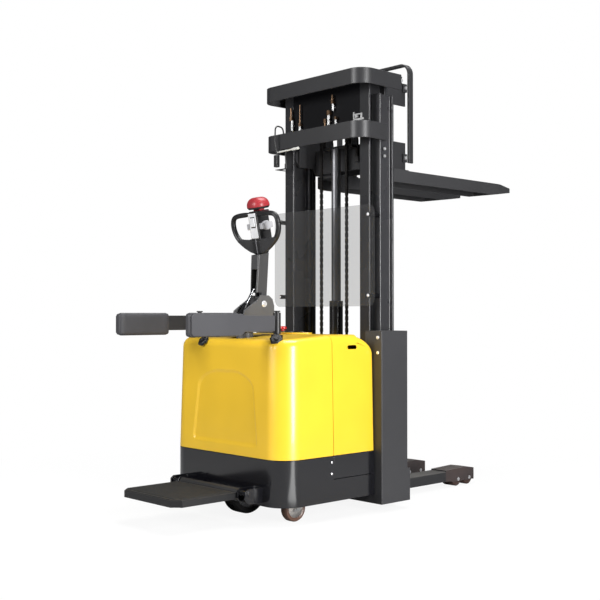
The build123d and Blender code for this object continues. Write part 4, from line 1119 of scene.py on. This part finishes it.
# Cable over the outer crown: round rubber cable from a gland on the left rail
# to the height switch that hangs behind the crown, tied to the crown's edge.
cable_rubber = urethane("cable_rubber", (0.020, 0.020, 0.020), 0.5)
dress("mast_cable", cable_rubber, 0)
dress("cable_switch", black_moulding, 0.002)
cable_gland = bmesh.new()
rod(cable_gland, (-0.262, -0.1396, 1.7640), (0, 0, 1), 0.0085, 0.030, 20)
slab(cable_gland, (-0.340, -0.2515), (-0.1500, -0.1292), (1.7655, 1.7685))
slab(cable_gland, (-0.3398, -0.324), (-0.1302, -0.0502), (1.7656, 1.7684))
place("cable_gland", cable_gland, (black_moulding,), "chassis", slot_of["cable_switch"], sharp=30)
cable_tie = bmesh.new()
rod(cable_tie, (-0.246, -0.2165, 1.846), (1.0, 0.015, 0.030), 0.0042, 0.165, 16)
rod(cable_tie, (-0.130, -0.2150, 1.8495), (1.0, 0.015, 0.030), 0.0070, 0.045, 16)
tie_white = moulded("tie_white", (0.72, 0.72, 0.68), 0.5, 0.0)
place("cable_tie", cable_tie, (tie_white,), "chassis", slot_of["mast_cable"])

# ---------------------------------------------------------------------------
# Inner mast: rails nested in the outer pair, a tie low down and a plate high
# up, the top crown, the chromed lift rods and the free-lift barrel.
# The inner rails wear a darker copy of the mast enamel: painted shade.
inner_rail_painted_shade = sprayed("inner_rail_painted_shade", (0.026, 0.026, 0.028), 0.28, grain=0.04, coat=0.2)
dress("inner_rails", inner_rail_painted_shade, 0.003, 3)
# The ties' plate between the crowns is near-black partly as painted shade.
dress("inner_ties", black_with_painted_shade, 0.001)
inner_bar = bmesh.new()
bent_bar(inner_bar, 0.382, -0.218, 0.078, 2.128, 2.207, 0.080)
for sign in (-1, 1):
    slab(inner_bar, tuple(sorted((sign * 0.250, sign * 0.3748))), (-0.096, 0.092), (2.190, 2.200))
round_edges(
    place(
        "inner_crown_bar", inner_bar, (crown_enamel,), "inner_mast", slot_of["inner_crown"],
        ("inner_crown",),
    ),
    0.0012, 2,
)

# Hose ends and a bracket on the upper plate: hexagon brass nipples, pale
# sleeves and a bare steel clip, all screwed to the plate between the rails.
brass = bare_metal("brass", (0.15, 0.095, 0.060), 0.30)
clip_steel = bare_metal("clip_steel", (0.50, 0.50, 0.50), 0.45)
hose_brass = bmesh.new()
hose_pale = bmesh.new()
for x, low, high, radius, pale, sides in (
    (-0.252, 2.030, 2.050, 0.011, 0, 6), (-0.252, 2.050, 2.100, 0.006, 0, 20),
    (-0.244, 1.975, 2.030, 0.007, 1, 20), (-0.182, 1.960, 1.990, 0.007, 1, 20),
    (-0.182, 1.990, 2.010, 0.009, 0, 6), (-0.182, 2.010, 2.110, 0.004, 0, 20),
    (0.067, 2.076, 2.096, 0.011, 0, 6), (0.067, 2.096, 2.122, 0.006, 0, 20),
    (0.072, 2.040, 2.076, 0.006, 1, 20), (0.040, 2.020, 2.044, 0.014, 0, 6),
    (0.040, 1.962, 2.020, 0.008, 1, 20), (0.014, 1.985, 2.003, 0.011, 0, 6),
    (0.014, 1.955, 1.985, 0.007, 0, 20), (0.092, 1.990, 2.006, 0.009, 0, 6),
    (0.092, 1.955, 1.990, 0.005, 1, 20),
):
    rod(hose_pale if pale else hose_brass, (x, -0.112, low), (0, 0, 1), radius, high - low, sides)
    rod(hose_pale if pale else hose_brass, (x, -0.112, (low + high) / 2), (0, 1, 0), radius * 0.6, 0.017, 12)
place("hose_nipples", hose_brass, (brass,), "inner_mast", "bright_steel", sharp=30)
place("hose_sleeves", hose_pale, (clip_steel,), "inner_mast", "bright_steel", sharp=30)
clip = bmesh.new()
slab(clip, (0.206, 0.280), (-0.099, -0.0962), (1.968, 1.979))
slab(clip, (0.206, 0.216), (-0.099, -0.0962), (1.979, 2.014))
slab(clip, (0.258, 0.270), (-0.099, -0.0962), (1.979, 2.004))
slab(clip, (0.216, 0.258), (-0.099, -0.0962), (1.996, 2.003))
rod(clip, (0.236, -0.108, 1.987), (0, 1, 0), 0.008, 0.010, 20)
place("hose_clip", clip, (clip_steel,), "inner_mast", "bright_steel", sharp=30)
dress("lift_rods", chrome, 0)
dress("free_lift_barrel", tube_black, 0.0006)


# ---------------------------------------------------------------------------
# Free-lift head: the chromed ram, its crosshead with two chain wheels, and the
# leaf chains that run from the barrel over the wheels to the carriage.
def link_plate(form, middle, along, across, length, width, thickness):
    """Add one rounded chain plate, its long side along and its flat side across."""
    side = along.cross(across).normalized()
    outline = []
    for step in range(8):
        angle = math.tau * (step + 0.5) / 8
        reach = length / 2 - width / 2 if math.cos(angle) > 0 else width / 2 - length / 2
        spot = middle + along * (reach + math.cos(angle) * width / 2) + side * (math.sin(angle) * width / 2)
        outline.append(spot)
    near = [form.verts.new(spot - across * thickness / 2) for spot in outline]
    far = [form.verts.new(spot + across * thickness / 2) for spot in outline]
    form.faces.new(near)
    form.faces.new(far)
    for step in range(8):
        form.faces.new((near[step], near[(step + 1) % 8], far[(step + 1) % 8], far[step]))


def strand(form, x, points, width=0.0130):
    """Lay leaf-chain plates from point to point, pairs of two and three in turn."""
    for index, (start, end) in enumerate(zip(points, points[1:])):
        along = Vector(end) - Vector(start)
        middle = (Vector(start) + Vector(end)) / 2
        spots = (-0.0060, 0.0, 0.0060) if index % 2 else (-0.0032, 0.0032)
        for spot in spots:
            link_plate(
                form, middle + Vector((x + spot, 0, 0)), along.normalized(), Vector((1, 0, 0)),
                along.length + width * 0.9, width, 0.0026,
            )
        pin = Vector(start) + Vector((x - 0.0078, 0, 0))
        rod(form, pin, (1, 0, 0), 0.0024, 0.0156, 8)


chain_steel = bare_metal("chain_steel", (0.055, 0.052, 0.050), 0.42, 40.0, 0.1)
wheel_y, wheel_z, pitch_radius = 0.007, 1.900, 0.040
head = bmesh.new()
rod(head, (0, -0.016, 0.996), (0, 0, 1), 0.025, 0.8605, 48)
ram_steel = bare_metal("ram_steel", (0.20, 0.20, 0.21), 0.45, 60.0, 0.01)
place("free_lift_ram", head, (ram_steel,), "lift_head", "chrome_rod", sharp=30)
crosshead = bmesh.new()
slab(crosshead, (-0.084, 0.084), (-0.022, 0.030), (1.856, 1.870))
for sign in (-1, 1):
    slab(crosshead, tuple(sorted((sign * 0.106, sign * 0.114))), (-0.022, 0.030), (1.856, 1.870))
    slab(crosshead, tuple(sorted((sign * 0.083, sign * 0.107))), (-0.0218, -0.015), (1.8562, 1.8698))
    for cheek in (0.076, 0.108):
        cheek_span = tuple(sorted((sign * cheek, sign * (cheek + 0.006))))
        slab(crosshead, cheek_span, (-0.014, 0.028), (1.8565, 1.916))
    rod(crosshead, (sign * 0.075, wheel_y, wheel_z), (sign, 0, 0), 0.010, 0.040, 24)
    rod(crosshead, (sign * 0.1145, wheel_y, wheel_z), (sign, 0, 0), 0.0085, 0.0015, 24)
round_edges(
    place("crosshead", crosshead, (crown_enamel,), "lift_head", "black_paint", ("lift_head",), sharp=30),
    0.001,
)
wrap = bmesh.new()
for sign in (-1, 1):
    arc = []
    for step in range(9):
        angle = math.pi - math.pi * step / 8
        arc.append((0, wheel_y + pitch_radius * math.cos(angle), wheel_z + pitch_radius * math.sin(angle)))
    strand(wrap, sign * 0.095, arc, 0.0112)
for vert in wrap.verts:
    vert.co.z = max(1.9003, vert.co.z)
place("chain_over_wheels", wrap, (chain_steel,), "lift_head", "chain_steel", sharp=30)

wheels = bmesh.new()
for sign in (-1, 1):
    turn(wheels, (sign * 0.095, wheel_y, wheel_z), (1, 0, 0), (
        (-0.0080, 0.0104), (-0.0080, 0.0330), (-0.0065, 0.0330), (-0.0055, 0.0320), (0.0055, 0.0320),
        (0.0065, 0.0330), (0.0080, 0.0330), (0.0080, 0.0104),
    ), 40)
place(
    "chain_wheels", wheels, (chain_steel,), "chain_sprockets", "chain_steel", ("chain_sprockets",), sharp=30
)

rear_strands = bmesh.new()
front_strands = bmesh.new()
for sign in (-1, 1):
    links = 66
    strand(rear_strands, sign * 0.095, [(0, -0.033, 0.865 + 1.035 * i / links) for i in range(links + 1)])
    links = 40
    strand(
        front_strands, sign * 0.095, [(0, 0.047, 1.812 + 0.088 * i / links) for i in range(links + 1)], 0.0112
    )
for vert in rear_strands.verts:
    vert.co.z = min(1.8997, vert.co.z)
rear_chain = place(
    "rear_chain", rear_strands, (chain_steel,), "inner_mast", "chain_steel", ("chains_anchored",), sharp=30
)
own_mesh(rear_chain)
for vert in front_strands.verts:
    vert.co.z = min(1.8999, max(1.8121, vert.co.z))
front_chain = place(
    "front_chain", front_strands, (chain_steel,), "lift_head", "chain_steel", ("chains_lifting",), sharp=30
)
front_chain.parent = None
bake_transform(front_chain)

# ---------------------------------------------------------------------------
# Carriage between the rails, its two fork channels and the tube backrest.
dress("carriage_frame", crown_enamel, 0.0012)
fork_enamel = sprayed("fork_enamel", (0.042, 0.042, 0.044), 0.38, grain=0.04, dust_and_top_light=0.1)
for side in ("left", "right"):
    dress(f"fork_{side}", fork_enamel, 0.002, 3)
hoop = bmesh.new()
hoop_path = [(-0.266, 1.782)]
for turn_at, start in ((-0.210, 180.0), (0.210, 90.0)):
    for step in range(13):
        angle = math.radians(start - 90.0 * step / 12)
        hoop_path.append((turn_at + 0.056 * math.cos(angle), 2.260 + 0.056 * math.sin(angle)))
hoop_path.append((0.266, 1.782))
sections = []
for index, (x, z) in enumerate(hoop_path):
    ahead = hoop_path[min(index + 1, len(hoop_path) - 1)]
    behind = hoop_path[max(index - 1, 0)]
    along = Vector((ahead[0] - behind[0], 0.0, ahead[1] - behind[1])).normalized()
    across = along.cross(Vector((0.0, 1.0, 0.0)))
    corners = [
        hoop.verts.new(Vector((x, y, z)) + across * reach)
        for y, reach in ((0.262, -0.006), (0.298, -0.006), (0.298, 0.006), (0.262, 0.006))
    ]
    sections.append(corners)
for near, far in zip(sections, sections[1:]):
    for side in range(4):
        hoop.faces.new((near[side], near[(side + 1) % 4], far[(side + 1) % 4], far[side]))
hoop.faces.new(sections[0])
hoop.faces.new(sections[-1])
round_edges(
    place("backrest_hoop", hoop, (crown_enamel,), "carriage", slot_of["backrest"], ("backrest",), sharp=30),
    0.002, 2,
)
guard_screws = bmesh.new()
for sign in (-1, 1):
    for y, level in ((0.249, 2.182), (0.248, 1.807)):
        rod(guard_screws, (sign * 0.260, y, level), (sign, 0, 0), 0.009, 0.006, 6)
    rod(guard_screws, (sign * 0.247, 0.229, 2.222), (sign, 0, 0), 0.009, 0.006, 6)
place("backrest_screws", guard_screws, (bolt_zinc,), "carriage", "bright_steel", sharp=30)
